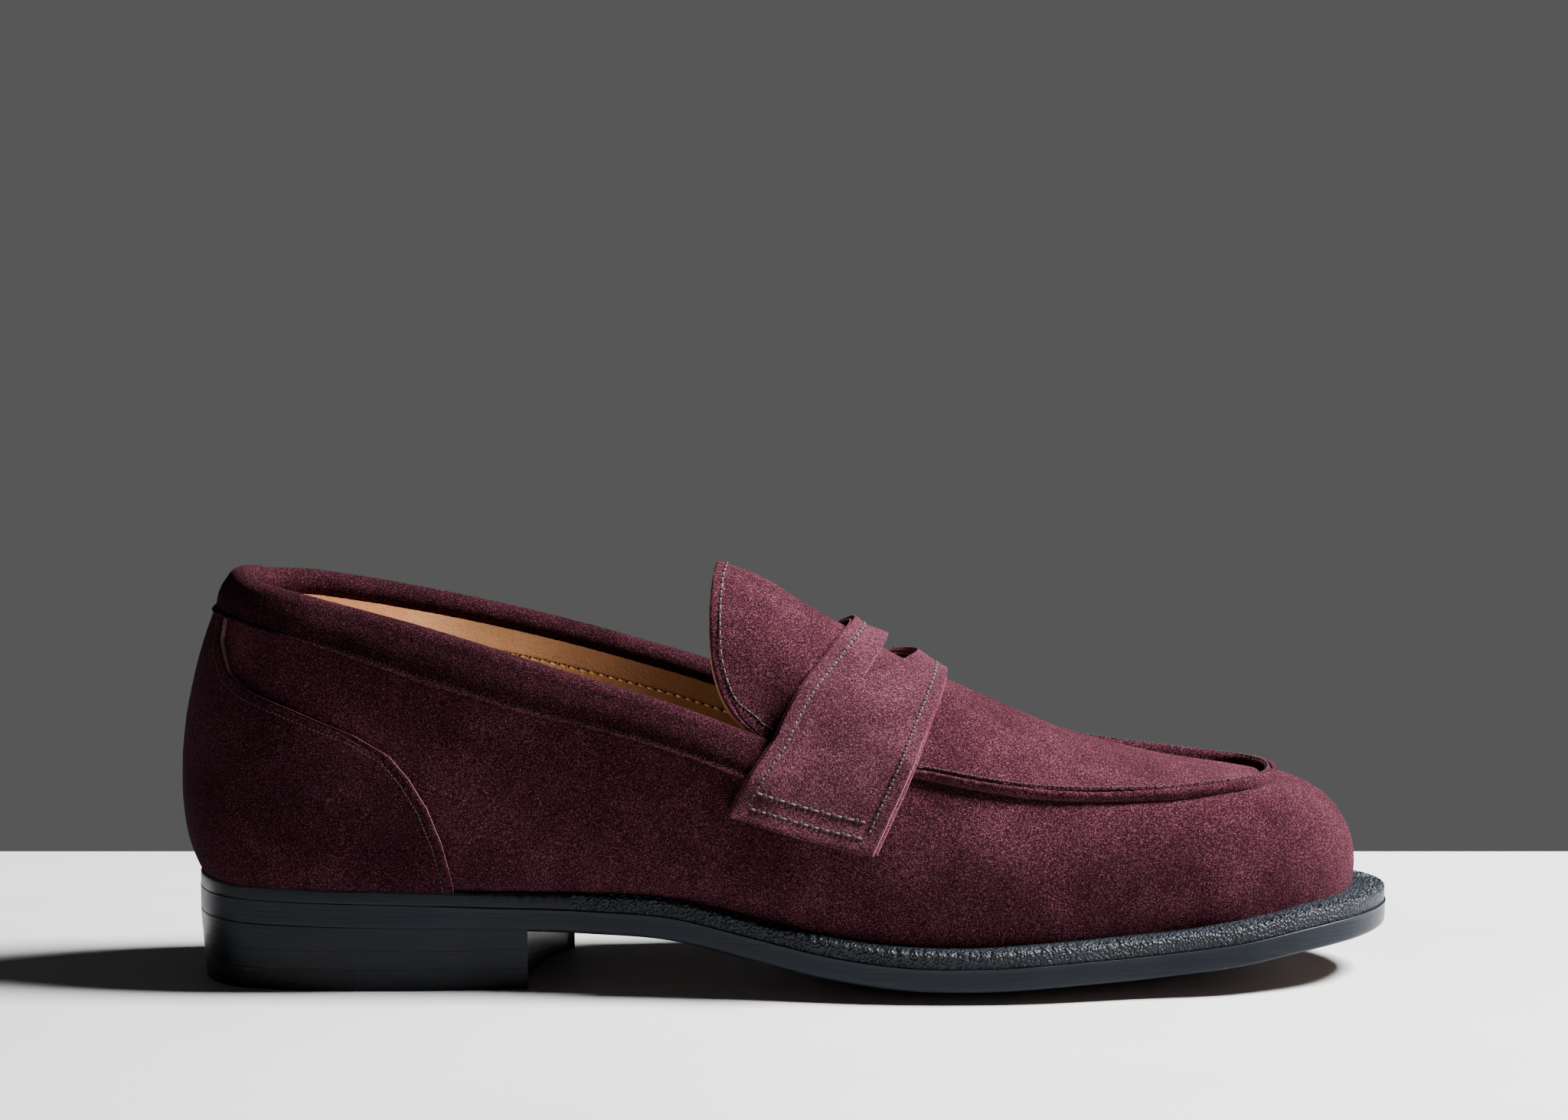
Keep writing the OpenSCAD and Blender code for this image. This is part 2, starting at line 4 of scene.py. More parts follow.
import bmesh
import bpy
import numpy as np
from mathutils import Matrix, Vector


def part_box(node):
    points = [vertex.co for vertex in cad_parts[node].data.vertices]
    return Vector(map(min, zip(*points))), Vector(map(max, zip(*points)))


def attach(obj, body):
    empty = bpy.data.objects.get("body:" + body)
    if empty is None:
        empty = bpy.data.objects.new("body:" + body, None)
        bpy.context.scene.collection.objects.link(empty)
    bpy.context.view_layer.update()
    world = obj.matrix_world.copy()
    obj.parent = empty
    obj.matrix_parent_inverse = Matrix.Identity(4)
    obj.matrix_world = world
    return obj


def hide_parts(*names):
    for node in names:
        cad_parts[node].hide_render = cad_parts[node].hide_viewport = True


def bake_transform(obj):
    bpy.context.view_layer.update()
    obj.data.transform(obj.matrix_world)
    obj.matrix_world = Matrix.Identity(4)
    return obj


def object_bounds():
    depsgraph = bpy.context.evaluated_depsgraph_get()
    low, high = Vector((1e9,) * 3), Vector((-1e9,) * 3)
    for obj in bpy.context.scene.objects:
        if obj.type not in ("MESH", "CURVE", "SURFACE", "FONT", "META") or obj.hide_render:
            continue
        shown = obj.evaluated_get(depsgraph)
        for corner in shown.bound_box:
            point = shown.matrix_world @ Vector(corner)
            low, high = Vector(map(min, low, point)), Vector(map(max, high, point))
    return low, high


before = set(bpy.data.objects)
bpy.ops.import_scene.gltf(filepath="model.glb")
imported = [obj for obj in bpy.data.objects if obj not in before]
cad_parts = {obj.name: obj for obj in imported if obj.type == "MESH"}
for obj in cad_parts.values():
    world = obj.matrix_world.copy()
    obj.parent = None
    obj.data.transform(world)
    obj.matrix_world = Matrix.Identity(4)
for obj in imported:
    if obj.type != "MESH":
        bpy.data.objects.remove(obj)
CAD_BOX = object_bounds()

# A suede penny loafer, right shoe. Lengths below are millimetres from the back of the heel
# (x), from the middle plane (y, minus is the outer side) and from the ground (z), as in the
# CAD model. A mesh gets them in metres, moved so that the CAD outsole's back is its own.
MM = 0.001
SOLE_BACK = 0.2
ORIGIN = np.array([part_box("outsole")[0][0] / MM - SOLE_BACK, 0.0, CAD_BOX[0][2] / MM])
rng = np.random.default_rng(11)

# ---- The last: 24 stations round the shoe. Rows hold sole edge x and y, welt width, top line x, y
# and z, the way outward in degrees, how far the wall's foot leans out and rises, and how far
# its crown leans out and drops.
TURNS = 24
PITCH_X = 30
STATIONS = np.array([
    [0.2, 0, 2.7, 10.5, 0, 101.5, 180, 10, 14, 13, 24],
    [8, -24, 2.2, 15.5, -12.5, 100.3, 222, 8.4, 14, 9.4, 24],
    [30, -32.5, 1, 30, -21.5, 97.4, 270, 6.5, 14, 8, 24],
    [60, -33.3, 1, 60, -27.5, 90, 270, 6.5, 13, 6, 22],
    [90, -30.3, 1.5, 90, -31, 80.9, 270, 8.5, 13, 4, 20],
    [120, -35.7, 3, 120, -32.6, 71.9, 270, 8, 13, 3.5, 17],
    [150, -43.7, 4.5, 150, -32.8, 61.6, 270, 5, 12, 6, 13],
    [180, -49.6, 5.5, 180, -35.5, 55.6, 270, 3.5, 12, 8.5, 11],
    [210, -49.4, 6, 210, -36.3, 50.3, 270, 3, 12, 9, 9],
    [240, -42.6, 6.5, 240, -31, 48.8, 280, 2.5, 12, 10, 6],
    [268, -36.5, 7.5, 261, -23, 49.5, 295, 2, 13, 12, 3],
    [292.5, -21, 8.2, 269.9, -11.5, 49.6, 322, 2.5, 14, 15.4, 1.8],
    [302.5, 3, 8.5, 272.6, 3, 49.9, 359, 3, 14.5, 16.4, 1.2],
    [294, 26, 8.2, 270.2, 17.5, 49.6, 398, 2.5, 14, 15.4, 1.8],
    [270, 40.5, 7.5, 262, 28.5, 49.3, 427, 2, 13, 12, 3],
    [240, 47, 6.5, 240, 34, 51.3, 440, 2.5, 12, 10, 6],
    [210, 50, 6, 210, 37, 55.4, 450, 3, 13, 9, 9],
    [180, 45.5, 5, 180, 35.5, 62.2, 450, 4, 13, 8, 12],
    [150, 35, 4, 150, 33, 69, 450, 7, 14, 6, 16],
    [120, 27.8, 2.5, 120, 32.6, 78, 450, 11, 14, 5, 22],
    [90, 28, 1.5, 90, 31, 86.5, 450, 10, 14, 5, 24],
    [60, 32.3, 1, 60, 27.5, 93.8, 450, 7, 13, 6, 24],
    [30, 32.3, 1, 30, 21.5, 99.7, 450, 6.5, 14, 8, 24],
    [8, 24, 2.2, 15.5, 12.5, 101.3, 498, 8.4, 14, 9.4, 24],
])
BEARING = np.stack([np.cos(np.radians(STATIONS[:, 6])), np.sin(np.radians(STATIONS[:, 6])),
                    np.zeros(TURNS)], axis=-1)
PROFILE_STEP = 20
OUTSOLE_TOP = np.array([22.8, 22.4, 22.1, 21.6, 20.6, 20, 19.2, 15.3, 11.2, 9, 8.9, 9.9, 10.9,
                        12.8, 15.8, 17.7, 18])
BELLY = np.array([0, 0, 0, 0, 0, 0, 0.5, 1.3, 2.4, 3.15, 3.05, 2.8, 2.6, 2.3, 2, 1.6, 1.4])
CREST_X0 = 120
CREST = np.array([106, 101, 90.3, 79, 69.8, 61.4, 55.6, 51.8, 49])
ARCH_POWER = 1.9
SUEDE = 1.5
WELT = 4.2
OUTSOLE = 5.8
INSIDE = 3.8
LINING = 1.0
WALL_SINK = 0.3
COLLAR_H = 14.9
HEEL_REACH = 3.3
NUDGE = 0.01
SEAM = 0.01
NAP = 0.02


# ---- Curves
TURN = 2 * math.pi


def mix(a, b, u):
    return a + (b - a) * u


def smooth(u):
    u = np.clip(u, 0, 1)
    return u * u * (3 - 2 * u)


def unit(v):
    return v / np.maximum(np.linalg.norm(v, axis=-1, keepdims=True), 1e-9)


def blend4(a, b, c, d, u):
    return b + 0.5 * u * (c - a + u * (2 * a - 5 * b + 4 * c - d + u * (3 * (b - c) + d - a)))


def spline(values, u):
    values, u = np.asarray(values, float), np.asarray(u, float)
    i = np.floor(u).astype(int)
    f = u - i
    f = f[..., None] if values.ndim > 1 else f
    at = [values[np.clip(i + k, 0, len(values) - 1)] for k in (-1, 0, 1, 2)]
    return blend4(*at, f)


def looped(rows, t):
    t = np.asarray(t, float)
    i = np.floor(t).astype(int)
    return blend4(*[rows[(i + k) % TURNS] for k in (-1, 0, 1, 2)], (t - i)[..., None])


def around(t):
    return looped(STATIONS, t)


def outward(t):
    return unit(looped(BEARING, t))


def outsole_top(x):
    return spline(OUTSOLE_TOP, x / PROFILE_STEP)


def welt_top(x):
    return outsole_top(x) + WELT


def crest(x):
    return spline(CREST, (x - CREST_X0) / PROFILE_STEP)


def vec(x, y, z):
    return np.stack(np.broadcast_arrays(x, y, z), axis=-1).astype(float)


# ---- Surfaces of the upper
def edge(t, grow=0.0):
    r = around(t)
    return vec(r[..., 0], r[..., 1], 0) + np.asarray(grow)[..., None] * outward(t)


def feather(t, grow=0.0):
    return edge(t, grow - around(t)[..., 2])


def top_line(t):
    return around(t)[..., 3:6]


def wall(t, s):
    t, s = np.broadcast_arrays(np.asarray(t, float), np.asarray(s, float))
    r, n = around(t), outward(t)
    a = feather(t)
    a[..., 2] = welt_top(a[..., 0]) - WALL_SINK
    d = r[..., 3:6]
    up = np.zeros_like(a)
    up[..., 2] = 1
    b = a + r[..., 7:8] * n + r[..., 8:9] * up
    c = d + r[..., 9:10] * n - r[..., 10:11] * up
    s = s[..., None]
    q = 1 - s
    return q ** 3 * a + 3 * q * q * s * b + 3 * q * s * s * c + s ** 3 * d


def wall_frame(t, s):
    """The wall's outward normal and its upward direction."""
    dt = wall(t + NUDGE, s) - wall(t - NUDGE, s)
    ds = wall(t, s + NUDGE) - wall(t, s - NUDGE)
    return unit(np.cross(dt, ds)), unit(ds)


def wall_at(t, s, d=0.0):
    return wall(t, s) + np.asarray(d)[..., None] * wall_frame(t, s)[0]


def arch(t, u):
    t, u = np.broadcast_arrays(np.asarray(t, float), np.asarray(u, float))
    a, b = top_line(t), top_line(TURNS - t)
    p = mix(a, b, u[..., None])
    c = crest(p[..., 0])
    p[..., 2] = c - (c - p[..., 2]) * np.abs(2 * u - 1) ** ARCH_POWER
    return p


def arch_normal(t, u):
    return unit(np.cross(arch(t + NUDGE, u) - arch(t - NUDGE, u), arch(t, u + NUDGE) - arch(t, u - NUDGE)))


def arch_at(t, u, d=0.0):
    return arch(t, u) + np.asarray(d)[..., None] * arch_normal(t, u)


# ---- Mesh builders
SHARP = math.radians(42)


def placed(name, data):
    ob = bpy.data.objects.new(name, data)
    bpy.context.scene.collection.objects.link(ob)
    return ob


@contextmanager
def editing(mesh):
    bm = bmesh.new()
    bm.from_mesh(mesh)
    yield bm
    bm.to_mesh(mesh)
    bm.free()


def new_object(name, points, faces, materials, face_slots=None, merge=0.0):
    """An object from points in millimetres and faces given as index rows of three or four."""
    mesh = bpy.data.meshes.new(name)
    mesh.from_pydata(((np.asarray(points) + ORIGIN) * MM).tolist(), [], [list(f) for f in faces])
    for material in materials:
        mesh.materials.append(material)
    if face_slots is not None:
        mesh.polygons.foreach_set("material_index", np.asarray(face_slots, np.int32))
    mesh.polygons.foreach_set("use_smooth", np.ones(len(mesh.polygons), bool))
    if merge:
        with editing(mesh) as bm:
            bmesh.ops.remove_doubles(bm, verts=bm.verts, dist=merge * MM)
            bmesh.ops.dissolve_degenerate(bm, edges=bm.edges, dist=merge * MM * 0.2)
            bmesh.ops.recalc_face_normals(bm, faces=bm.faces)
    mesh.set_sharp_from_angle(angle=SHARP)
    mesh.update()
    return placed(name, mesh)


def quads(grid):
    return grid[:-1, :-1], grid[:-1, 1:], grid[1:, 1:], grid[1:, :-1]


def slab(name, outer, inner, materials, mask=None):
    """A closed solid between two grids of points. Faces on its cut edge take the second
    material. mask leaves quads out, which cuts holes with walls of their own."""
    n, m = outer.shape[:2]
    a, b, c, d = quads(np.arange(n * m).reshape(n, m))
    on = np.ones(a.shape, bool) if mask is None else mask
    low = n * m
    faces = [np.stack([a[on], d[on], c[on], b[on]], -1),
             np.stack([a[on], b[on], c[on], d[on]], -1) + low]
    count = 2 * int(on.sum())
    pad = np.pad(on, 1)
    for beyond, p, q in ((pad[1:-1, :-2], d, a), (pad[1:-1, 2:], b, c),
                         (pad[:-2, 1:-1], a, b), (pad[2:, 1:-1], c, d)):
        p, q = p[on & ~beyond], q[on & ~beyond]
        faces.append(np.stack([p, q, q + low, p + low], -1))
    faces = np.vstack(faces)
    slots = np.zeros(len(faces), int)
    slots[count:] = min(1, len(materials) - 1)
    points = np.concatenate([outer.reshape(-1, 3), inner.reshape(-1, 3)])
    return new_object(name, points, faces, materials, slots)


def sweep(name, sections, material):
    """A closed tube through sections, each a closed loop of points; ends are capped."""
    n, m = sections.shape[:2]
    grid = np.arange(n * m).reshape(n, m)
    a, b, c, d = quads(np.hstack([grid, grid[:, :1]]))
    faces = np.stack([a, d, c, b], -1).reshape(-1, 4).tolist()
    faces += [list(range(m)), list(range((n - 1) * m, n * m))[::-1]]
    return new_object(name, sections.reshape(-1, 3), faces, [material])


def disc(name, columns, materials, slots=None, merge=0.002):
    """A closed layer from a ring of columns, each running from the middle of the top over
    the edge to the middle of the underside. The two sides' columns meet on the middle line."""
    n, m = columns.shape[:2]
    grid = np.vstack([np.arange(n * m).reshape(n, m), np.arange(m)])
    faces = np.stack(quads(grid), -1).reshape(-1, 4)
    index = np.zeros(len(faces), int) if slots is None else np.tile(slots, n)
    return new_object(name, columns.reshape(-1, 3), faces, materials, index, merge)


def line_on(surface, a, b, lift, step=0.3):
    """Points at a height over a surface, and its normals there."""
    p = surface(a, b, lift)
    return p, unit(surface(a, b, lift + step) - p)


def eased(n, length, r):
    """n + 1 shares along a length, with extra ones near both ends, and how far each drops to
    round a cut edge of radius r."""
    ends = np.array([0.0, 0.12, 0.4, 1.0]) * r
    drop = r - np.sqrt(np.maximum(r * r - (r - ends) ** 2, 0))
    share = np.concatenate([ends / length, np.linspace(ends[-1] / length, 1 - ends[-1] / length, n - 5)[1:-1],
                            1 - ends[::-1] / length])
    return share, np.concatenate([drop, np.zeros(n - 7), drop[::-1]])


def fuzz(points, normals, amount):
    """Points moved along their normals by fine noise, as a nap's tips are."""
    return points + normals * (rng.standard_normal(points.shape[:-1]) * amount)[..., None]


def waves(p, size, seed=0.0):
    """A smooth field between about -1 and 1 that undulates over size millimetres."""
    k = TURN / size
    x, y, z = p[..., 0] + 7 * seed, p[..., 1] - 3 * seed, p[..., 2] + 5 * seed
    return (np.sin(k * x + 1.3 * np.sin(0.7 * k * z)) * np.cos(0.8 * k * z + np.sin(0.6 * k * x + seed))
            + 0.6 * np.sin(1.7 * k * (x * 0.6 + z) + seed) * np.cos(1.3 * k * (y + 0.4 * x))) / 1.6


def leather(name, surface, a, b, d_out, thick, materials, nap=0.0, sway=0.0, dents=None):
    """A sheet of leather: surface(a, b, depth) gives its points, a and b are (share, drop)
    pairs from eased(). dents(A, B) gives extra depth."""
    A, B = np.meshgrid(a[0], b[0], indexing="ij")
    base, normal = line_on(surface, A, B, d_out, 0.2)
    depth = -np.maximum(np.asarray(a[1])[:, None], np.asarray(b[1])[None, :])
    depth = depth + sway * (waves(base, 42) + 0.35 * waves(base, 17, 3))
    if dents is not None:
        depth = depth + dents(A, B)
    outer = base + normal * depth[..., None]
    if nap:
        outer = fuzz(outer, normal, nap)
    return slab(name, outer, base - normal * thick, materials)


def path_length(p):
    return np.concatenate([[0], np.cumsum(np.linalg.norm(np.diff(p, axis=0), axis=1))])


def resample(p, s, at):
    return np.stack([np.interp(at, s, p[:, k]) for k in range(p.shape[1])], axis=-1)


def circle(n):
    angle = np.linspace(0, TURN, n, endpoint=False)
    return np.stack([np.cos(angle), np.sin(angle)], -1)


def stitches(name, runs):
    """Rows of lockstitches. runs is a list of (points, normals) along each seam. Each stitch is a short capsule
    whose ends dip into the leather, with a needle hole at each end: a low dome in a dark material, painted shade
    where the hole would be."""
    material, pitch, radius, gap, hole = THREADS[name]
    sides = 7
    ring_at = np.array([0.0, 0.1, 0.3, 0.5, 0.7, 0.9, 1.0])
    ring_r = np.array([0.45, 0.85, 1.0, 1.05, 1.0, 0.85, 0.45]) * radius
    ring_h = np.array([-0.9, -0.15, 0.35, 0.5, 0.35, -0.15, -0.9]) * radius
    dome = ((1.0, 0.05), (0.8, 0.3), (0.35, 0.38))
    around_it = circle(sides)
    points, faces, slots = [], [], []
    total = 0

    def add(rings, slot):
        nonlocal total
        g = np.arange(rings.shape[0] * sides).reshape(-1, sides) + total
        new = np.stack(quads(np.hstack([g, g[:, :1]])), -1).reshape(-1, 4).tolist()
        new += [g[0][::-1].tolist(), g[-1].tolist()]
        points.append(rings.reshape(-1, 3))
        faces.extend(new)
        slots.extend([slot] * len(new))
        total += g.size

    for line, normals in runs:
        s = path_length(line)
        count = max(1, int(round(s[-1] / pitch)))
        step = s[-1] / count
        for k in range(count):
            ends = np.array([k * step + gap / 2, (k + 1) * step - gap / 2]) + 0.06 * rng.standard_normal(2)
            at = mix(ends[0], ends[1], ring_at)
            c, n = resample(line, s, at), unit(resample(normals, s, at))
            side = unit(np.cross(unit(c[-1] - c[0]), n))
            c = c + n * ring_h[:, None]
            add(c[:, None] + ring_r[:, None, None] * (around_it[None, :, :1] * side[:, None]
                                                     + around_it[None, :, 1:] * n[:, None]), 0)
            # A needle hole is a low dark dome: painted shade of the hole.
            if hole and k:
                at = np.array([k * step])
                c, n = resample(line, s, at), unit(resample(normals, s, at))
                run = unit(resample(line, s, at + 0.4) - c)
                side = unit(np.cross(run, n))
                rings = [c + hole * r * (around_it[:, :1] * side + around_it[:, 1:] * -run) + n * h
                         for r, h in dome]
                add(np.stack(rings), 1)
    return new_object(name, np.vstack(points), faces, [material, HOLE_SHADE_MAT], slots)


# ---- Materials
class Nodes:
    """A node material, with short calls for the few node kinds that the materials share."""

    def __init__(self, name):
        self.material = bpy.data.materials.new(name)
        self.material.use_nodes = True
        self.tree = self.material.node_tree
        self.place = self.add("ShaderNodeTexCoord", "Object", {})

    def feed(self, node, inputs):
        for key, value in inputs.items():
            slot = node.inputs[key]
            if isinstance(value, bpy.types.NodeSocket):
                self.tree.links.new(value, slot)
            else:
                slot.default_value = (*value, 1) if slot.type == "RGBA" else value

    def add(self, kind, output, inputs, **settings):
        node = self.tree.nodes.new(kind)
        for key, value in settings.items():
            setattr(node, key, value)
        self.feed(node, inputs)
        return node.outputs[output]

    def stretch(self, x, y, z):
        return self.add("ShaderNodeMapping", 0, {"Vector": self.place, "Scale": (x, y, z)})

    def noise(self, scale, detail=3.0, rough=0.55, vector=None, distortion=0.0):
        return self.add("ShaderNodeTexNoise", "Fac", {
            "Vector": vector or self.place, "Scale": scale, "Detail": detail, "Roughness": rough,
            "Distortion": distortion})

    def cells(self, scale):
        return self.add("ShaderNodeTexVoronoi", "Distance", {"Vector": self.place, "Scale": scale})

    def ramp(self, value, *stops):
        colour = self.add("ShaderNodeValToRGB", "Color", {"Fac": value})
        elements = colour.node.color_ramp.elements
        while len(elements) < len(stops):
            elements.new(0.5)
        for element, (at, shade) in zip(elements, stops):
            element.position = at
            element.color = (*shade, 1)
        return colour

    def curve(self, value, lo, hi, to_lo, to_hi):
        return self.add("ShaderNodeMapRange", "Result", {
            "Value": value, "From Min": lo, "From Max": hi, "To Min": to_lo, "To Max": to_hi})

    def total(self, a, b, share_a=1.0, share_b=1.0):
        """Two values added by their shares."""
        a, b = [value if share == 1
                else self.add("ShaderNodeMath", 0, {0: value, 1: share}, operation="MULTIPLY")
                for value, share in ((a, share_a), (b, share_b))]
        return self.add("ShaderNodeMath", 0, {0: a, 1: b}, operation="ADD")

    def blend(self, fac, a, b):
        return self.add("ShaderNodeMix", 2, {0: fac, 6: a, 7: b}, data_type="RGBA")

    def bump(self, height, distance, strength, *under):
        return self.add("ShaderNodeBump", "Normal", {"Height": height, "Distance": distance, "Strength": strength,
                                                     **{"Normal": normal for normal in under}})

    def shade(self, colour, normal, **inputs):
        """Feeds the shader; an underscore in an input's name stands for a space."""
        self.feed(self.tree.nodes["Principled BSDF"], {
            "Base Color": colour, "Normal": normal,
            **{key.replace("_", " "): value for key, value in inputs.items()}})
        return self.material


def suede_material(name, deep, body, tip, sheen):
    """Napped suede: fine fibres whose tips are lighter than their roots, brushed patches where
    the nap lies another way, and a soft sheen at grazing angles."""
    n = Nodes(name)
    fibre = n.noise(4300, 2, 0.7)
    clump = n.noise(2300, 3, 0.65)
    nap = n.total(fibre, clump, 0.5, 0.5)
    nap = n.total(nap, n.curve(n.noise(70, 4, 0.6, distortion=0.6), 0.3, 0.7, -0.022, 0.022))
    nap = n.total(nap, n.curve(n.noise(28, 2, 0.5), 0.3, 0.7, -0.014, 0.014))
    return n.shade(n.ramp(nap, (0.39, deep), (0.522, body), (0.635, tip)),
                   n.bump(fibre, 0.00035, 0.85, n.bump(clump, 0.0005, 0.55)),
                   Roughness=0.95, Specular_IOR_Level=0.02, Sheen_Weight=sheen, Sheen_Roughness=0.26,
                   Sheen_Tint=tuple(min(1, 3.2 * c + 0.01) for c in tip))


def lining_material(name, dark, light, gloss=0.42, brushed=False, painted_shade=0.0):
    """Vegetable-tanned lining leather: pores, faint creases and uneven tan. Its last argument paints shade on it
    towards the front of the opening, the shadow that the tongue and strap cast inside the shoe."""
    n = Nodes(name)
    crease = n.noise(160, 5, 0.6, distortion=1.2)
    fine = n.noise(2400 if brushed else 1400, 2, 0.6)
    tan = n.ramp(n.total(n.noise(45, 4, 0.55), fine, 0.6, 0.4), (0.34, dark), (0.66, light))
    along = n.add("ShaderNodeSeparateXYZ", "X", {0: n.place})
    pores = n.bump(n.cells(1500), 0.00012, 0.5)
    brush = {"Sheen_Weight": 0.4, "Sheen_Tint": light} if brushed else {}
    # Painted shade: the tan blends to dark brown towards the front of the opening.
    return n.shade(n.blend(n.curve(along, -0.1, -0.035, 0.0, painted_shade), tan, (0.10, 0.042, 0.018)),
                   n.bump(crease, 0.0002, 0.4, n.bump(fine, 0.0003 if brushed else 0.0001, 0.7, pores)),
                   Roughness=n.curve(crease, 0.3, 0.7, gloss - 0.06, gloss + 0.1), **brush)


def edge_material(name, base, rough=0.34, layered=True):
    """Inked and waxed leather edge: fine fibre lines along the layers, polish that comes and
    goes, and a few scuffs."""
    n = Nodes(name)
    lines = n.noise(1.0, 4, 0.65, n.stretch(60, 60, 2200) if layered else n.stretch(700, 700, 700))
    tone = n.noise(50, 4, 0.6)
    scuff = n.noise(1.0, 3, 0.6, n.stretch(90, 90, 700))
    lift = tuple(min(1, c * 2.1 + 0.004) for c in base)
    ink = n.ramp(n.total(lines, tone, 0.55, 0.45), (0.36, base), (0.68, lift))
    return n.shade(n.blend(n.curve(scuff, 0.64, 0.82, 0.0, 0.2), ink, (0.16, 0.055, 0.02)),
                   n.bump(lines, 0.0001, 0.6, n.bump(tone, 0.0006, 0.35)),
                   Roughness=n.curve(tone, 0.3, 0.7, rough - 0.07, rough + 0.14),
                   Coat_Weight=0.02, Specular_IOR_Level=0.1, Coat_Roughness=0.3)


def grain_material(name, base, lift):
    """Black grained leather, as on the welt."""
    n = Nodes(name)
    grain = n.cells(1300)
    fine = n.noise(2860, 3, 0.6)
    return n.shade(n.ramp(n.total(grain, n.noise(120, 3, 0.5), 0.5, 0.5), (0.3, base), (0.75, lift)),
                   n.bump(fine, 0.0003, 0.6, n.bump(grain, 0.0006, 0.8)),
                   Roughness=n.curve(fine, 0.3, 0.7, 0.25, 0.45), Specular_IOR_Level=0.16)


def thread_material(name, dark, light):
    """Twisted thread: fine slanted plies."""
    n = Nodes(name)
    plies = n.noise(1.0, 2, 0.5, n.stretch(2600, 2600, 1800))
    return n.shade(n.ramp(plies, (0.3, dark), (0.65, light)), n.bump(plies, 0.0001, 0.8),
                   Roughness=0.7, Specular_IOR_Level=0.1)


def plain_material(name, dark, light, rough=0.6, metal=0.0, scale=600, depth=0.0001, stretch=None):
    n = Nodes(name)
    tone = n.noise(scale, 4, 0.6, n.stretch(*stretch) if stretch else None)
    return n.shade(n.ramp(tone, (0.35, dark), (0.65, light)), n.bump(tone, depth, 0.7),
                   Roughness=n.curve(tone, 0.3, 0.7, rough - 0.08, rough + 0.1), Metallic=metal)


# Suedes by the colour of their roots, their middle and their fibres' tips. The strap's copy is lighter than the
# main suede, which is painted light; the counter's and the collar's copies are darker, which is painted shade.
SUEDE_MAT, STRAP_LIT_MAT, COUNTER_SHADED_MAT, COLLAR_SHADED_MAT, CUT_MAT, BACKING_MAT = [suede_material(*row) for row in (
    ("suede", (0.0035, 0.0008, 0.0014), (0.024, 0.0055, 0.0092), (0.132, 0.043, 0.061), 0.17),
    ("strap_suede_painted_light", (0.007, 0.0019, 0.0031), (0.036, 0.0098, 0.0158), (0.148, 0.054, 0.073), 0.17),
    ("counter_suede_painted_shade", (0.0024, 0.0005, 0.0010), (0.0165, 0.0037, 0.0064), (0.092, 0.030, 0.043), 0.1),
    ("collar_suede_painted_shade", (0.0012, 0.0003, 0.0005), (0.0105, 0.0022, 0.0038), (0.064, 0.0185, 0.027), 0.05),
    ("suede_cut_edge", (0.07, 0.026, 0.034), (0.19, 0.085, 0.100), (0.36, 0.19, 0.21), 0.15),
    ("backing_suede", (0.02, 0.005, 0.008), (0.07, 0.016, 0.026), (0.16, 0.05, 0.07), 0.2))]
# The lining carries painted shade towards the front of the opening.
LINING_MAT = lining_material("lining_leather", (0.56, 0.43, 0.31), (0.84, 0.72, 0.58), painted_shade=0.82)
GRIP_MAT = lining_material("grip_leather", (0.56, 0.34, 0.23), (0.86, 0.62, 0.47), 0.8, True)
SOCK_MAT = lining_material("sock_leather", (0.48, 0.28, 0.12), (0.66, 0.43, 0.22), 0.5)
EDGE_MAT = edge_material("inked_edge", (0.0020, 0.0032, 0.0058))
HEEL_MAT = edge_material("heel_edge", (0.0013, 0.0019, 0.0035), 0.3)
BOTTOM_MAT = plain_material("sole_leather", (0.024, 0.010, 0.0065), (0.070, 0.030, 0.018), 0.55, 0.0, 90,
                            0.0003)
WELT_MAT = grain_material("welt_leather", (0.0014, 0.002, 0.0032), (0.009, 0.0115, 0.016))
RUBBER_MAT = edge_material("tip_rubber", (0.0022, 0.0026, 0.0036), 0.42, False)
THREAD_MAT, SEAM_THREAD_MAT, SAND_MAT, WAXED_MAT = [thread_material(*row) for row in (
    ("thread", (0.035, 0.020, 0.023), (0.125, 0.085, 0.092)),
    ("seam_thread", (0.012, 0.005, 0.0065), (0.048, 0.024, 0.028)),
    ("tan_thread", (0.50, 0.33, 0.17), (0.80, 0.62, 0.40)),
    ("waxed_thread", (0.003, 0.004, 0.005), (0.014, 0.016, 0.020)))]
# The needle holes' dark colour is painted shade.
HOLE_SHADE_MAT = plain_material("needle_hole_shade", (0.006, 0.002, 0.003), (0.018, 0.006, 0.008), 0.95)
BRASS_MAT = plain_material("nail_brass", (0.42, 0.26, 0.08), (0.72, 0.52, 0.22), 0.35, 1.0, 900)


# ---- Surfaces that the pieces share: each takes two coordinates and a depth
def on_arch_or_wall(x, q):
    t = 1 + x / PITCH_X
    top = arch(t, 0.5 + np.clip(q, -1, 1) / 2)
    side = wall(np.where(q < 0, t, TURNS - t), np.minimum(2 - np.abs(q), 1))
    return np.where((np.abs(q) <= 1)[..., None], top, side)


def over(x, q, d=0.0):
    """Across the whole shoe at distance x: q is 0 on the crest, 1 at the top line, 2 at the welt."""
    x, q, d = [np.asarray(v, float) for v in np.broadcast_arrays(x, q, d)]
    dx = on_arch_or_wall(x + 0.4, q) - on_arch_or_wall(x - 0.4, q)
    dq = on_arch_or_wall(x, q + 0.1) - on_arch_or_wall(x, q - 0.1)
    return on_arch_or_wall(x, q) + d[..., None] * unit(np.cross(dx, dq))


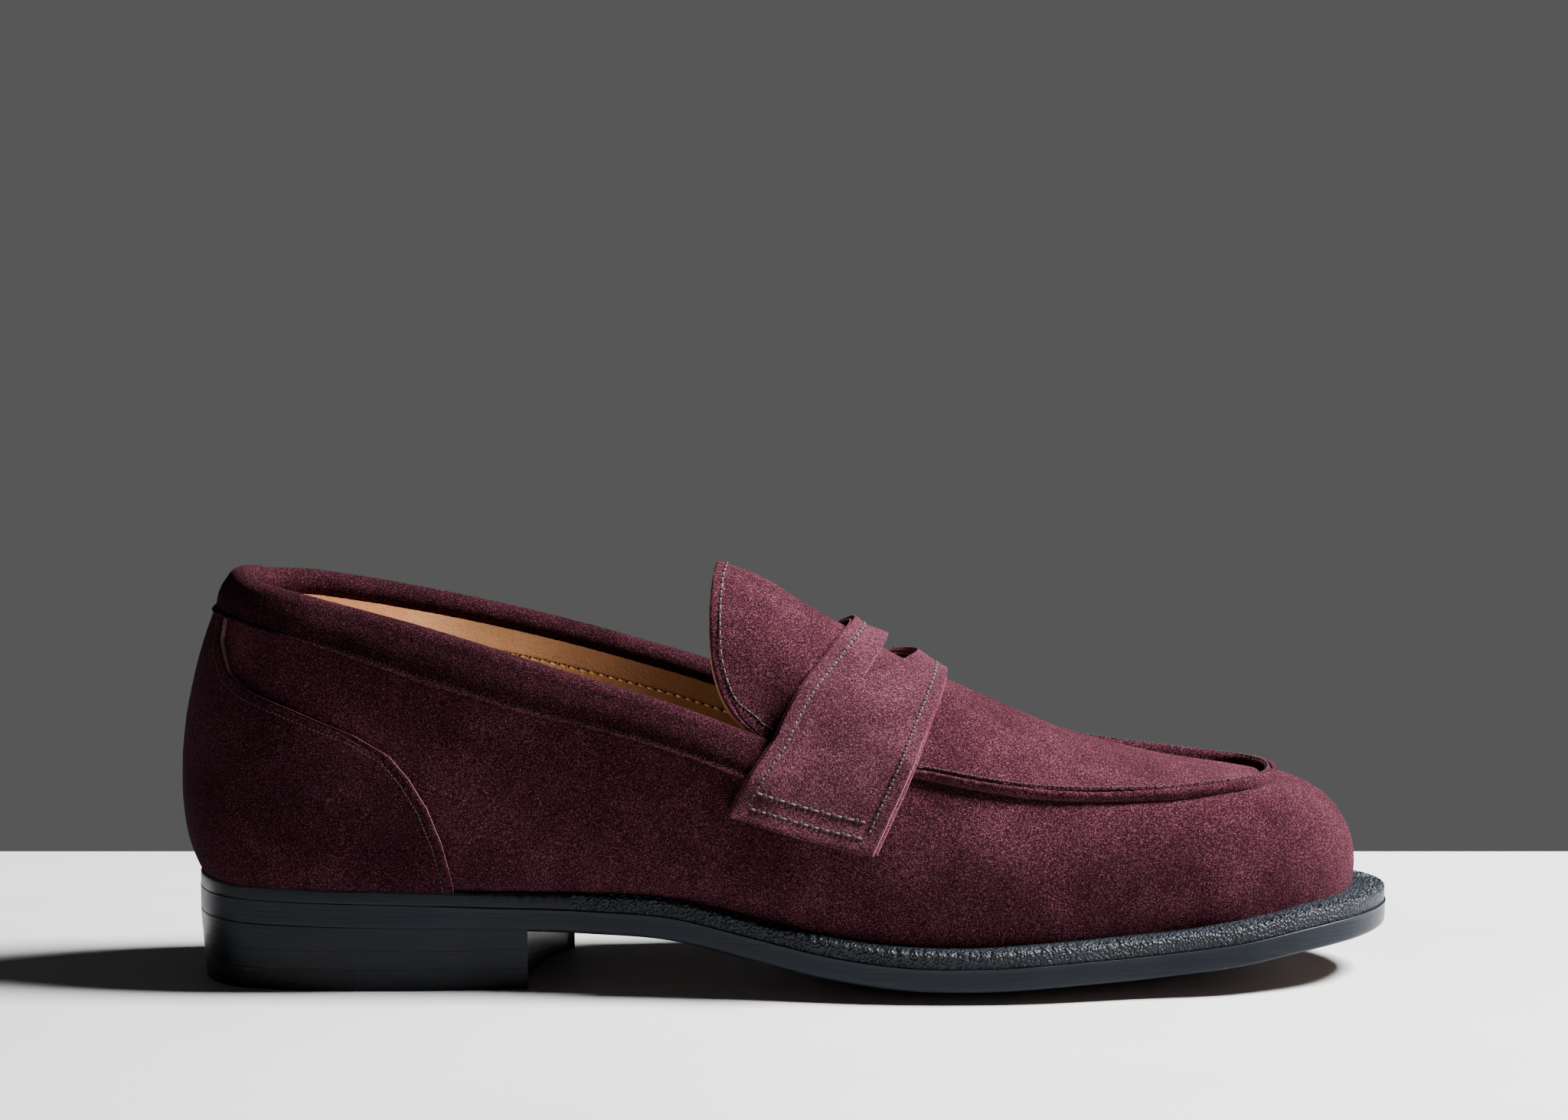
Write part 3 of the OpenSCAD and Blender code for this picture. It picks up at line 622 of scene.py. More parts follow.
def inset(surface, a, b, distance):
    """The coordinates of a line that runs a distance to the left of the line a, b on a surface."""
    a, b = np.broadcast_arrays(np.asarray(a, float), np.asarray(b, float))
    step = 1e-3
    p = surface(a, b, 0.0)
    pa = (surface(a + step, b, 0.0) - p) / step
    pb = (surface(a, b + step, 0.0) - p) / step
    run = unit(np.gradient(p, axis=0))
    to = unit(np.cross(unit(surface(a, b, 0.2) - p), run)) * distance
    m = np.stack([np.stack([(pa * pa).sum(-1), (pa * pb).sum(-1)], -1),
                  np.stack([(pa * pb).sum(-1), (pb * pb).sum(-1)], -1)], -2)
    rhs = np.stack([(pa * to).sum(-1), (pb * to).sum(-1)], -1)
    move = np.linalg.solve(m, rhs[..., None])[..., 0]
    return a + move[:, 0], b + move[:, 1]


def give(ob, node):
    """Lets a piece ride on the shoe in place of a CAD node."""
    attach(ob, "shoe")
    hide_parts(node)


SEAM_S = np.array([0.01, 0.12, 0.25, 0.38, 0.48, 0.55, 0.6, 0.64, 0.68, 0.72, 0.8, 0.88])
SEAM_T = np.array([3.23, 3.2, 3.14, 3.03, 2.88, 2.72, 2.43, 1.95, 1.39, 1.03, 0.72, 0.62])
RIM_T = 6.95
COUNTER_TOP = 1.75


# ---- Skirt and apron, and the raised seam between them
def skirt_surface(A, B, d):
    s = mix(0.005, 0.985, B)
    start = np.interp(s, SEAM_S, SEAM_T) - 0.25
    return wall_at(mix(start, TURNS - start, A), s, d)


def plain(n):
    return np.linspace(0, 1, n + 1), np.zeros(n + 1)


def lobe(name, section, seed, deep=0.0):
    """One turned-up edge of the raised seam, swept along the top line, a little uneven. deep is
    how far its foot dips with the apron."""
    t = np.linspace(RIM_T, TURNS - RIM_T, 620)
    line = top_line(t)
    w, h = np.array(section, float).T
    s = path_length(line)
    pucker = 0.10 * np.sin(s * TURN / 2.4 + 1.7 * np.sin(s / 9 + seed)) * np.sin(s / 31 + seed)
    sway = 0.22 * np.sin(s / 13 + seed) + 0.14 * np.sin(s / 5.3 + 2 * seed)
    ease = smooth(s / 9) * smooth((s[-1] - s) / 9)
    high = np.maximum(h, 0) * (0.72 + 0.28 * ease)[:, None] + np.minimum(h, 0)
    high = high + (pucker + 0.5 * sway)[:, None] * (h > 0.5) - deep * gutter(t)[:, None] * (h < 0.3)
    across = w + (0.5 * sway)[:, None] * (h > 0.3)
    points = rim_at(t[:, None], across, high)
    return sweep(name, points + rng.standard_normal(points.shape) * 0.045, SUEDE_MAT)


def gutter(t):
    """How far the apron dips beside the raised seam: on the inner side, towards the toe."""
    return smooth((t - 11.95) / 2.1) * smooth((16.4 - t) / 1.6)


def rim_normal(t):
    t = np.asarray(t, float)
    half = np.where(t <= TURNS / 2, t, TURNS - t)
    u = mix(0.03, 0.5, smooth(half - 11))
    top = arch_normal(np.minimum(half, 11), np.where(t <= TURNS / 2, u, 1 - u))
    return unit(wall_frame(t, 0.98)[0] + top)


def rim_at(t, w, h):
    n = rim_normal(t)
    side = unit(np.cross(top_line(t + NUDGE) - top_line(t - NUDGE), n))
    return top_line(t) - np.asarray(w)[..., None] * side + np.asarray(h)[..., None] * n


def joined(name, parts):
    """Several meshes made into one object, each kept in its own place."""
    mesh = bpy.data.meshes.new(name)
    materials = []
    with editing(mesh) as bm:
        for part in parts:
            offset = len(bm.faces)
            materials += [m for m in part.data.materials if m not in materials]
            slots = [materials.index(m) for m in part.data.materials]
            bm.from_mesh(part.data)
            bm.faces.ensure_lookup_table()
            for face in bm.faces[offset:]:
                face.material_index = slots[face.material_index]
            bpy.data.objects.remove(part)
    for material in materials:
        mesh.materials.append(material)
    return placed(name, mesh)


OUTER_LOBE = [(-0.04, -0.9), (-1.3, -0.9), (-1.6, -0.3), (-1.8, 0.4), (-1.85, 1.1), (-1.75, 1.7), (-1.45, 2.2),
              (-1.05, 2.5), (-0.65, 2.5), (-0.3, 2.3), (-0.08, 1.85), (-0.04, 1.1)]
INNER_LOBE = [(3.0, -0.5), (2.2, -0.9), (0.04, -0.9), (0.04, 1.1), (0.08, 1.85), (0.3, 2.2), (0.65, 2.42),
              (1.05, 2.3), (1.4, 1.95), (1.65, 1.4), (1.85, 0.7), (2.1, 0.05)]

skirt_patch = leather("skirt_patch", skirt_surface, plain(600), plain(56), 0, SUEDE, [SUEDE_MAT], nap=NAP,
                      sway=0.14)
give(joined("skirt_leather", [skirt_patch, lobe("skirt_lobe", OUTER_LOBE, 1.0)]), "skirt")

APRON_DIP = 1.7
APRON_T = np.concatenate([np.linspace(6.2, 9.2, 150), np.linspace(9.2, 11.985, 130)[1:]])


def apron_surface(A, B, d):
    t = np.interp(A, np.linspace(0, 1, len(APRON_T)), APRON_T)
    return arch_at(t, B, d - APRON_DIP * gutter(TURNS - t) * smooth((B - 0.72) / 0.2))


apron_patch = leather("apron_patch", apron_surface, plain(278), plain(110), 0, SUEDE, [SUEDE_MAT], nap=NAP,
                      sway=0.16)
give(joined("apron_leather", [apron_patch, lobe("apron_lobe", INNER_LOBE, 2.3, APRON_DIP)]), "apron")


# ---- Counter cover
def counter_surface(A, B, d):
    s = mix(0.01, 0.89, B)
    reach = np.interp(s, SEAM_S, SEAM_T)
    return wall_at(mix(-reach, reach, A), s, d)


def seam_groove(distance_mm, depth=0.3, width=0.7):
    return -depth * np.exp(-(distance_mm / width) ** 2)


COUNTER_L = 190
# The counter wears a darker copy of the suede: painted shade.
counter = leather("counter_leather", counter_surface, eased(190, COUNTER_L, 0.5), plain(90), COUNTER_TOP,
                  COUNTER_TOP - 0.1, [COUNTER_SHADED_MAT, CUT_MAT], nap=NAP, sway=0.1,
                  dents=lambda A, B: seam_groove(COUNTER_L * np.minimum(A, 1 - A) - 3, 0.25))
give(counter, "heel_counter")


# ---- Collar
COLLAR_T = 5.72
COLLAR_SLANT = 0.2
COLLAR_RISE = 12.7
COLLAR_HEIGHTS = (0.7, 1.2, 1.8, 2.2, 2.5, 2.8, 3.3, 4, 5, 6.2, 7.6, 9, 10.4, 11.6, COLLAR_RISE)
THREAD_H = 2.5
ROLL_R = 3.65
ROLL_SINK = 1.55


def collar_foot(t):
    share = np.interp(np.abs(t), [0, 1, 1.73, 2.4, 3, 3.8, 4.4, 5.8], [0.72, 0.72, 0.8, 0.9, 1, 0.98, 0.89, 0.84])
    return 1 - 0.3 * COLLAR_H * share / around(t)[..., 10]


def roll_centre(t):
    """Where on the wall the middle of the collar's roll lies."""
    below = mix(0.52, 0.92, smooth((np.abs(t) - 0.4) / 0.9))
    return 1 - below / around(t)[..., 10]


def collar_depth(h):
    """How far the collar stands out at a height above its lower edge."""
    return np.interp(h, [0, 0.5, 1.4, 2.5, 3.8, 5.5, 8.5, COLLAR_RISE], [2.15, 2.5, 2.25, 1.75, 2.0, 2.4, 2.5, 2.1])


def collar_sections(t):
    """The collar's loop of points at each t: up its outside, over the roll and down inside."""
    foot, rim_s = collar_foot(t), roll_centre(t)
    along = path_length(top_line(t))
    pucker = 0.07 * np.sin(along * TURN / 2.7)
    sag = 0.25 * np.sin(along / 23) + 0.15 * np.sin(along / 9 + 1)
    columns = []
    for h, drop in ((0, 0.42), (0.12, 0.2), (0.35, 0.05), *[(h, 0) for h in COLLAR_HEIGHTS]):
        grow = collar_depth(h) - drop - pucker * math.exp(-((h - THREAD_H) / 1.3) ** 2) + 0.12 * sag * (h > 4)
        columns.append(wall_at(t, mix(foot, rim_s, h / COLLAR_RISE), grow))
    centre = wall_at(t, rim_s, -ROLL_SINK)
    n, u = wall_frame(t, rim_s)
    for angle in np.linspace(0, math.pi, 15)[1:]:
        columns.append(centre + ROLL_R * (math.cos(angle) * n + math.sin(angle) * u * (1 + 0.05 * sag[:, None])))
    for down, depth in ((0.15, -5.155), (0.35, -5.095), (0.5, -5.05), (0.6, -5.02), (0.6, -3.9), (0.3, -3.85),
                        (0.0, -3.8)):
        columns.append(wall_at(t, rim_s - down / around(t)[:, 10], depth))
    for share, depth in ((1.0, -0.6), (0.8, 0.06), (0.4, 0.06), (0.0, 0.3)):
        columns.append(wall_at(t, mix(foot, rim_s, share), depth))
    return np.stack(columns, axis=1)


COLLAR_TS = np.linspace(-COLLAR_T, COLLAR_T, 420)
collar_points = collar_sections(COLLAR_TS)
slant = collar_sections(COLLAR_TS * (1 + COLLAR_SLANT / COLLAR_T))
high = np.interp(np.arange(collar_points.shape[1]), [0, 17, 38, 42], [0, 1, 1, 0])
near_end = smooth((np.abs(COLLAR_TS) - 5.0) / 0.72)
collar_points = mix(collar_points, slant, (near_end[:, None] * high)[..., None])
collar_points = collar_points + rng.standard_normal(collar_points.shape) * 0.03
# The collar wears a darker copy of the suede: painted shade.
give(sweep("collar_leather", collar_points, COLLAR_SHADED_MAT), "collar")


# ---- Strap and its backing
STRAP_REAR = np.array([160, 165, 160, 146.6, 134.6, 129.5])
STRAP_FRONT = np.array([187, 189.2, 187, 180.5, 170.9, 160])
STRAP_Q = 1.5
STRAP_SLANT = 0.03
SLOT_REACH = 0.58
SLOT_REAR = 0.35
SLOT_FRONT = 0.66
STRAP_LOW = 1.45
STRAP_T = 1.4
STRAP_W = 28
EDGE_R = 0.28


def strap_x(q, v):
    u = 2 * np.abs(q) + 1
    return mix(spline(STRAP_REAR, u), spline(STRAP_FRONT, u), v)


def strap_lift(q, v):
    """How far the strap is raised: by the raised seam's ends, over the collar, and by the slot."""
    w = np.abs(q)
    over_rim = 1.1 * np.exp(-((w - 1.0) / 0.1) ** 2) * smooth((v - 0.72) / 0.28)
    over_collar = 1.5 * smooth((w - 0.62) / 0.2) * smooth((1.42 - w) / 0.2) * smooth((0.34 - v) / 0.28)
    bulge = 1.5 * np.exp(-(q / 0.34) ** 2) * np.sin(math.pi * np.clip(v, 0, 1)) ** 2
    rear_edge = 0.8 * (1 - smooth(v / 0.16))
    low_end = 0.9 * smooth((w - 1.34) / 0.16)
    return over_rim + over_collar + bulge + rear_edge + low_end


def strap_surface(q, v, d):
    q = q * (1 - STRAP_SLANT * (1 - v))
    return over(strap_x(q, v), q, d + strap_lift(q, v))


def slot_shape(q):
    w = np.abs(q) / SLOT_REACH
    return np.where(w >= 1, SLOT_REAR + 0.004, mix(SLOT_FRONT, SLOT_REAR + 0.03, np.clip(w, 0, 1) ** 1.7))


def strap_slab(name, low, thick, grow, material, reach, nap):
    """A layer of the strap with its slot. grow widens the layer at front and rear, in v."""
    q_share, q_drop = eased(300, 120, EDGE_R)
    q = mix(-reach, reach, q_share)
    rear, rear_drop = eased(24, 10, EDGE_R)
    front, front_drop = eased(40, 12, EDGE_R)
    cut = slot_shape(q)[:, None]
    rear_v = np.broadcast_to(mix(-grow, SLOT_REAR, rear), (len(q), len(rear)))
    V = np.concatenate([rear_v, mix(cut, 1 + grow, front)], axis=1)
    in_slot = np.abs(q) < SLOT_REACH
    beside = in_slot[:, None]
    rear_edge = np.where(np.arange(len(rear)) > len(rear) / 2, beside, 1.0) * rear_drop
    front_edge = np.where(np.arange(len(front)) < len(front) / 2, beside, 1.0) * front_drop
    drop = np.maximum(np.concatenate([rear_edge, front_edge], axis=1), q_drop[:, None])
    base, normal = line_on(strap_surface, np.broadcast_to(q[:, None], V.shape), V, low + thick)
    depth = -drop
    if thick > 1:
        for to_edge in (V, 1 - V):
            depth = depth + seam_groove(to_edge * STRAP_W - 3.3, 0.22, 0.6)
        depth = depth + 0.1 * waves(base, 34)
    outer = fuzz(base + normal * depth[..., None], normal, nap)
    mask = np.ones((V.shape[0] - 1, V.shape[1] - 1), bool)
    mask[in_slot[:-1] & in_slot[1:], len(rear) - 1] = False
    return slab(name, outer[:, ::-1], (base - normal * thick)[:, ::-1], [material, CUT_MAT], mask[:, ::-1])


# The strap wears a lighter copy of the suede: painted light.
give(strap_slab("strap_leather", STRAP_LOW, STRAP_T, 0.0, STRAP_LIT_MAT, STRAP_Q, NAP), "strap")
give(strap_slab("strap_backing_leather", 0.55, 0.85, 0.02, BACKING_MAT, STRAP_Q - SEAM, 0.0), "strap_backing")


# ---- Tongue: one piece of suede from its free edge to where the strap holds it, lined behind
# The free edge on one side, from the top line to the middle: its q and its x.
HALF_Q = np.array([-0.995, -0.965, -0.92, -0.84, -0.73, -0.56, -0.3, 0])
HALF_X = np.array([146, 140.6, 136, 132.9, 131, 130.3, 130.8, 131.8])
TONGUE_Q = np.concatenate([HALF_Q, -HALF_Q[-2::-1]])
TONGUE_X = np.concatenate([HALF_X, HALF_X[-2::-1]])


def tongue_surface(A, B, d):
    """A runs from the outer side to the inner, B from under the strap back to the free edge."""
    index = A * (len(TONGUE_Q) - 1)
    q, rear = spline(TONGUE_Q, index), spline(TONGUE_X, index)
    front = strap_x(q, 0.32)
    x = mix(front, rear, B)
    sink = 4.6 * smooth((np.abs(q) - 0.55) / 0.42) * smooth((158 - x) / 14)
    curl = 0.9 * smooth(B * 1.6 - 0.6) * (1 - smooth((np.abs(q) - 0.3) / 0.6))
    return over(x, q, d - sink + curl)


def bend(ob, *nodes, slot):
    """Hides the CAD nodes that a piece replaces and bakes its placement into its mesh."""
    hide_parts(*nodes)
    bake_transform(ob)


TONGUE_W = 90
TONGUE_L = 34
tongue_suede = leather("tongue_suede", tongue_surface, eased(150, TONGUE_W, 0.5), eased(70, TONGUE_L, 0.5), 0,
                       SUEDE, [SUEDE_MAT, CUT_MAT], nap=NAP, sway=0.25,
                       dents=lambda A, B: seam_groove(TONGUE_L * (1 - B) - 2.6, 0.2, 0.6))
tongue_lining = leather("tongue_lining_leather", tongue_surface, eased(90, TONGUE_W, 0.3),
                        eased(40, TONGUE_L, 0.3), -SUEDE - 0.02, LINING, [LINING_MAT], sway=0.1)
bend(tongue_suede, "tongue", "tongue_root", slot="suede")
bend(tongue_lining, "tongue_lining", slot="lining_leather")


# ---- Linings
LINING_D = -2.8
LINING_SEAM_H = 11.4
GRIP_T = 2.83
VAMP_T = 5.6


def lining_piece(name, start, stop, n, material=LINING_MAT, high=0.965, depth=LINING_D):
    def surface(A, B, d):
        return wall_at(mix(start, stop, A), mix(0.03, high, B), d)
    return leather(name, surface, plain(n), plain(40), depth, LINING, [material], sway=0.12)


give(lining_piece("heel_grip_leather", -GRIP_T - 0.02, GRIP_T + 0.02, 120, GRIP_MAT, depth=LINING_D + 0.3),
     "heel_grip")
for part, start, stop in (("outer", GRIP_T - 0.12, VAMP_T + 0.02),
                          ("inner", TURNS - VAMP_T - 0.02, TURNS - GRIP_T + 0.12)):
    give(lining_piece(f"{part}_quarter_lining", start, stop, 60), f"quarter_lining_{part}")
vamp_wall = lining_piece("vamp_wall", VAMP_T + 0.015, TURNS - VAMP_T - 0.015, 260, high=0.97)


def vamp_arch_surface(A, B, d):
    return arch_at(mix(6.3, 11.8, A), mix(0.03, 0.97, B), d)


vamp_arch = leather("vamp_arch", vamp_arch_surface, plain(90), plain(40), LINING_D, LINING, [LINING_MAT], sway=0.1)
give(joined("vamp_lining_leather", [vamp_wall, vamp_arch]), "vamp_lining")


# ---- Sock and heel pad inside the shoe
INSOLE = 2.8
SOCK = 0.9
PAD_BASE = INSOLE + SOCK + 0.25
PAD_INSET = 4.6
PAD_GLUED = 0.45
PAD_FRAMES = 14
PAD_GIVE = 0.8 * MM


def floor_surface(base, grow):
    """A floor inside the shoe at a height over the welt's top; it cups a little at its edges."""
    def surface(A, B, d):
        t = mix(0.05, 11.95, A)
        p = mix(feather(t, grow), feather(TURNS - t, grow), B[..., None])
        p[..., 2] = welt_top(p[..., 0]) + base + 1.1 * np.abs(2 * B - 1) ** 3 + d
        return p
    return surface


sock = leather("sock_leather", floor_surface(INSOLE + 0.2, -INSIDE - 0.7), plain(240), eased(60, 60, 0.3), SOCK,
               SOCK, [SOCK_MAT], sway=0.12)
give(sock, "sock")


def heel_pad():
    """A thin leather cushion on the sock, before its filling swells it."""
    ring = feather(np.linspace(-HEEL_REACH, HEEL_REACH, 64), -INSIDE - PAD_INSET)
    top = np.stack([mix(np.array([52.0, 0, 0]), ring, share) for share in (1.0, 0.93, 0.8, 0.6, 0.4, 0.2, 0.05)],
                   axis=1)
    lower = top.copy()
    top[..., 2] = welt_top(top[..., 0]) + PAD_BASE + np.array([0.55, 1.5, 2.1, 2.4, 2.5, 2.5, 2.5])
    lower[..., 2] = welt_top(lower[..., 0]) + PAD_BASE + 0.1
    ob = disc("heel_pad_leather", np.concatenate([top[:, ::-1], lower], axis=1), [SOCK_MAT], merge=0.2)
    with editing(ob.data) as bm:
        bmesh.ops.holes_fill(bm, edges=[e for e in bm.edges if e.is_boundary], sides=0)
        bmesh.ops.triangulate(bm, faces=[f for f in bm.faces if len(f.verts) > 4])
        bmesh.ops.recalc_face_normals(bm, faces=bm.faces)
    return ob


def co_rows(mesh):
    rows = np.empty(len(mesh.vertices) * 3)
    mesh.vertices.foreach_get("co", rows)
    return rows.reshape(-1, 3)


def fill_pad(pad):
    """Swells the pad by cloth pressure; its underside is glued down."""
    bpy.context.view_layer.objects.active = pad
    pad.select_set(True)
    remesh = pad.modifiers.new("remesh", "REMESH")
    remesh.mode = "VOXEL"
    remesh.voxel_size = 0.0016
    bpy.ops.object.modifier_apply(modifier="remesh")
    rest = co_rows(pad.data)
    pins = pad.vertex_groups.new(name="glued")
    over_welt = rest[:, 2] - (welt_top(rest[:, 0] / MM - ORIGIN[0]) + ORIGIN[2]) * MM
    for index in np.flatnonzero(over_welt < (PAD_BASE + PAD_GLUED) * MM):
        pins.add([int(index)], 1.0, "REPLACE")
    cloth = pad.modifiers.new("cloth", "CLOTH")
    for key, value in (("quality", 6), ("mass", 0.15), ("tension_stiffness", 30), ("compression_stiffness", 30),
                       ("bending_stiffness", 1.2), ("use_pressure", True), ("uniform_pressure_force", 3),
                       ("vertex_group_mass", "glued")):
        setattr(cloth.settings, key, value)
    cloth.settings.effector_weights.gravity = 0
    cloth.point_cache.frame_start, cloth.point_cache.frame_end = 1, PAD_FRAMES
    for step in range(1, PAD_FRAMES + 1):
        bpy.context.scene.frame_set(step)
    settled = co_rows(pad.evaluated_get(bpy.context.evaluated_depsgraph_get()).to_mesh())
    pad.modifiers.clear()
    settled = rest + np.clip(settled - rest, -PAD_GIVE, PAD_GIVE)
    pad.data.vertices.foreach_set("co", settled.ravel())
    pad.data.update()
    bpy.context.scene.frame_set(1)


pad = heel_pad()
fill_pad(pad)
pad.data.polygons.foreach_set("use_smooth", np.ones(len(pad.data.polygons), bool))
give(pad, "heel_pad")


# ---- Welt, rand and outsole
RIB_OUT = -4.9
WELT_STEP = 0.42
MARK_PITCH = 2.9
MARK_WIDTH = 0.42
# The welt's section: share of its width, how far in from there, how far below its top, and
# how strongly the wheel marks it.
WELT_SECTION = ((0, 0, -0.45, 0.0), (0.3, 0, -0.4, 0.15), (1, -2.4, -0.2, 0.55), (1, -1.7, 0.0, 0.9),
                (1, -1.15, 0.02, 1.0), (1, -0.75, 0.1, 1.0), (1, -0.42, 0.25, 1.0), (1, -0.2, 0.5, 0.9),
                (1, -0.07, 0.85, 0.7), (1, -0.02, 1.4, 0.35), (1, -0.04, 2.6, 0.2), (1, -0.06, 3.4, 0.1),
                (1, -0.08, 4.08, 0.0), (1, -0.12, 4.14, 0.0), (0.4, 0, 4.14, 0.0), (0, 0, 4.14, 0.0))
# The outsole's section, from the middle of its top to the middle of its underside: share of
# the way to the edge, how far out from there, and how far below its top.
SOLE_SECTION = ((0.0, 0, 0), (0.6, 0, 0), (0.94, 0, 0), (1, 0.0, 0), (1, 0.26, 0.03), (1, 0.34, 0.14),
                (1, 0.3, 0.34), (1, 0.18, 0.6), (1, 0.16, 1.2), (1, 0.14, 2.2), (1, 0.12, 3.4), (1, 0.06, 4.5),
                (1, -0.02, 5.1), (1, -0.2, 5.45), (1, -0.6, 5.75), (1, -1.5, 5.82), (1, -2.6, 5.83),
                *[(share, 0, 5.83) for share in (0.9, 0.8, 0.65, 0.5, 0.33, 0.15, 0.0)])


def wheel_marks(t, strength):
    """Depth of the wheel's grooves along the welt, by distance along its edge."""
    s = path_length(edge(t))
    off = (s + 0.4 * np.sin(s / 5.3)) % MARK_PITCH - MARK_PITCH / 2
    return -0.5 * np.exp(-(off / MARK_WIDTH) ** 2) * (0.8 + 0.25 * np.sin(s / 3.1)) * strength


def welt_band(name, ts, material, strength):
    """A strip of welt: its section runs from the upper out over the rounded edge and back."""
    width = around(ts)[:, 2]
    marks = wheel_marks(ts, strength)
    wobble = 0.06 * np.sin(path_length(edge(ts)) / 4.3)
    columns = []
    for share, inset_mm, drop, marked in WELT_SECTION:
        hi = width + inset_mm if share == 1 else width * share
        grow = np.maximum(hi, RIB_OUT + 0.5) if share else np.full(len(ts), RIB_OUT)
        if marked:
            grow = grow + marks * marked * (0.55 if drop > 0.2 else 0.1)
        p = feather(ts, grow)
        down = drop - marks * marked * (1.0 if drop < 0.3 else 0.25) * 0.9
        rough = rng.standard_normal(len(ts)) * 0.13 * (marked > 0.3) * np.minimum(strength * 2, 1)
        p[:, 2] = welt_top(p[:, 0]) - np.minimum(down, WELT - 0.06) + wobble * (drop < 0.5) + rough
        columns.append(p)
    return sweep(name, np.stack(columns, axis=1), material)


def even_steps(t0, t1, step):
    fine = np.linspace(t0, t1, 4000)
    s = path_length(edge(fine))
    return np.interp(np.linspace(0, s[-1], int(s[-1] / step)), s, fine)


welt_ts = even_steps(4.2, TURNS - 4.2, WELT_STEP)
to_toe = smooth((np.minimum(welt_ts, TURNS - welt_ts) - 6.5) / 3.5)
give(welt_band("welt_strip", welt_ts, WELT_MAT, mix(1.2, 0.65, to_toe)), "welt")
rand_ts = even_steps(-4.2, 4.2, WELT_STEP)
from_back = smooth((np.abs(rand_ts) - 3.2) / 0.8)
give(welt_band("heel_rand_strip", rand_ts, HEEL_MAT, mix(0.08, 1.2, from_back)), "heel_rand")


def spine_point(x):
    """The middle-line point that a point of the edge at x belongs to."""
    return 22 + (x - 2) * (250 / 300)


def belly(x, reach):
    return spline(BELLY, x / PROFILE_STEP) * 4 * reach * (1 - reach)


def outsole_disc(name):
    ts = even_steps(0, TURNS, 1.1)[:-1]
    rim = edge(ts)
    middle = rim.copy()
    middle[:, 0] = spine_point(rim[:, 0])
    middle[:, 1] = np.interp(middle[:, 0], [0, 100, 200, 300], [0, -1, 0.5, 3])
    columns = []
    for share, grow, down in SOLE_SECTION:
        square = 1 - 0.85 * smooth((66 - rim[:, 0]) / 6) * (down > 0)
        p = mix(middle, edge(ts, grow * square), share)
        p[:, 2] = outsole_top(p[:, 0]) - min(down, OUTSOLE)
        if down > 5:
            p[:, 2] = np.maximum(p[:, 2] - belly(p[:, 0], 0.5 * (1 - share)), 0.02)
        columns.append(p)
    slots = [int(down > 5.7) for share, grow, down in SOLE_SECTION[:-1]]
    return disc(name, np.stack(columns, axis=1), [EDGE_MAT, BOTTOM_MAT], slots, merge=0.05)


give(outsole_disc("outsole_leather"), "outsole")


# ---- Heel
HEEL_L = 85
SKEW = 9
HOLLOW = 3
TAPER = 1.3
TOP_PIECE = 5.5
LIFT_2 = 4.7
TIP_L = 42
HEEL_TOP = 16.2
TAPER_TO = 15.5
NAILS = 11
NAIL_INSET = 8.5


def heel_outline(inset_mm, x_from=None, x_to=None):
    """The heel block's plan, closed, drawn in all round; cut off at x_from or x_to."""
    outer_t, inner_t = 1 + HEEL_L / PITCH_X, 1 + (HEEL_L + SKEW) / PITCH_X
    ts = np.linspace(-inner_t, outer_t, 240)
    side = edge(ts, -inset_mm)[:, :2]
    v = np.linspace(0, 1, 42)[1:-1]
    a, b = side[-1], side[0]
    front = np.stack([mix(a[0], b[0], v) - 4 * HOLLOW * v * (1 - v) - inset_mm, mix(a[1], b[1], v)], -1)
    if x_to is not None:
        plan = side[side[:, 0] <= x_to]
    elif x_from is not None:
        plan = np.vstack([side[120:][side[120:, 0] >= x_from], front, side[:120][side[:120, 0] >= x_from]])
    else:
        return np.vstack([side, front])
    cut = np.stack([np.full(30, x_from or x_to), np.linspace(plan[-1, 1], plan[0, 1], 30)], -1)
    return np.vstack([plan, cut])


def heel_layer(name, z0, z1, material, x_from=None, x_to=None, top=None):
    """A lift with slightly rounded edges. top(x) replaces a flat upper face."""
    outline = heel_outline(0, x_from, x_to)
    centre = outline.mean(0)
    r = 0.02
    half = [(0.0, 0, 0), (0.55, 0, 0), (0.93, 0, 0), (1, 0, r), (1, r * 0.35, r * 0.3), (1, r, 0), (1, 0.07, 0)]
    rows = [(share, z1 - down, pull) for share, down, pull in half] + [(1, mix(z0, z1, 0.5), 0)]
    rows += [(share, z0 + up, pull) for share, up, pull in half[::-1]]
    columns = []
    for share, z, pull in rows:
        ring = heel_outline(TAPER * max(0, 1 - z / TAPER_TO), x_from, x_to)
        ring = mix(centre, ring - unit(ring - centre) * pull, share)
        p = np.column_stack([ring, np.full(len(ring), float(z))])
        if top is not None and z > z1 - r * 1.01:
            p[:, 2] = top(p[:, 0]) - (z1 - z)
        columns.append(p)
    return disc(name, np.stack(columns, axis=1), [material], merge=0.003)


def under_sole(x):
    return outsole_top(x) - OUTSOLE - 0.05


LIFTS = TOP_PIECE + LIFT_2
for name, node, slot, z0, z1, material, ends in (
        ("heel_lift_upper", "heel_lift_1", "heel_leather", LIFTS + SEAM, HEEL_TOP, HEEL_MAT, {"top": under_sole}),
        ("heel_lift_lower", "heel_lift_2", "heel_leather", TOP_PIECE + SEAM, LIFTS - SEAM, HEEL_MAT, {}),
        ("top_piece_leather", "top_piece", "heel_leather", 0, TOP_PIECE - SEAM, HEEL_MAT,
         {"x_from": TIP_L + 3 * SEAM}),
        ("heel_tip_rubber", "heel_tip", "tip_rubber", 0, TOP_PIECE - SEAM, RUBBER_MAT, {"x_to": TIP_L - 3 * SEAM})):
    give(heel_layer(name, z0, z1, material, **ends), node)


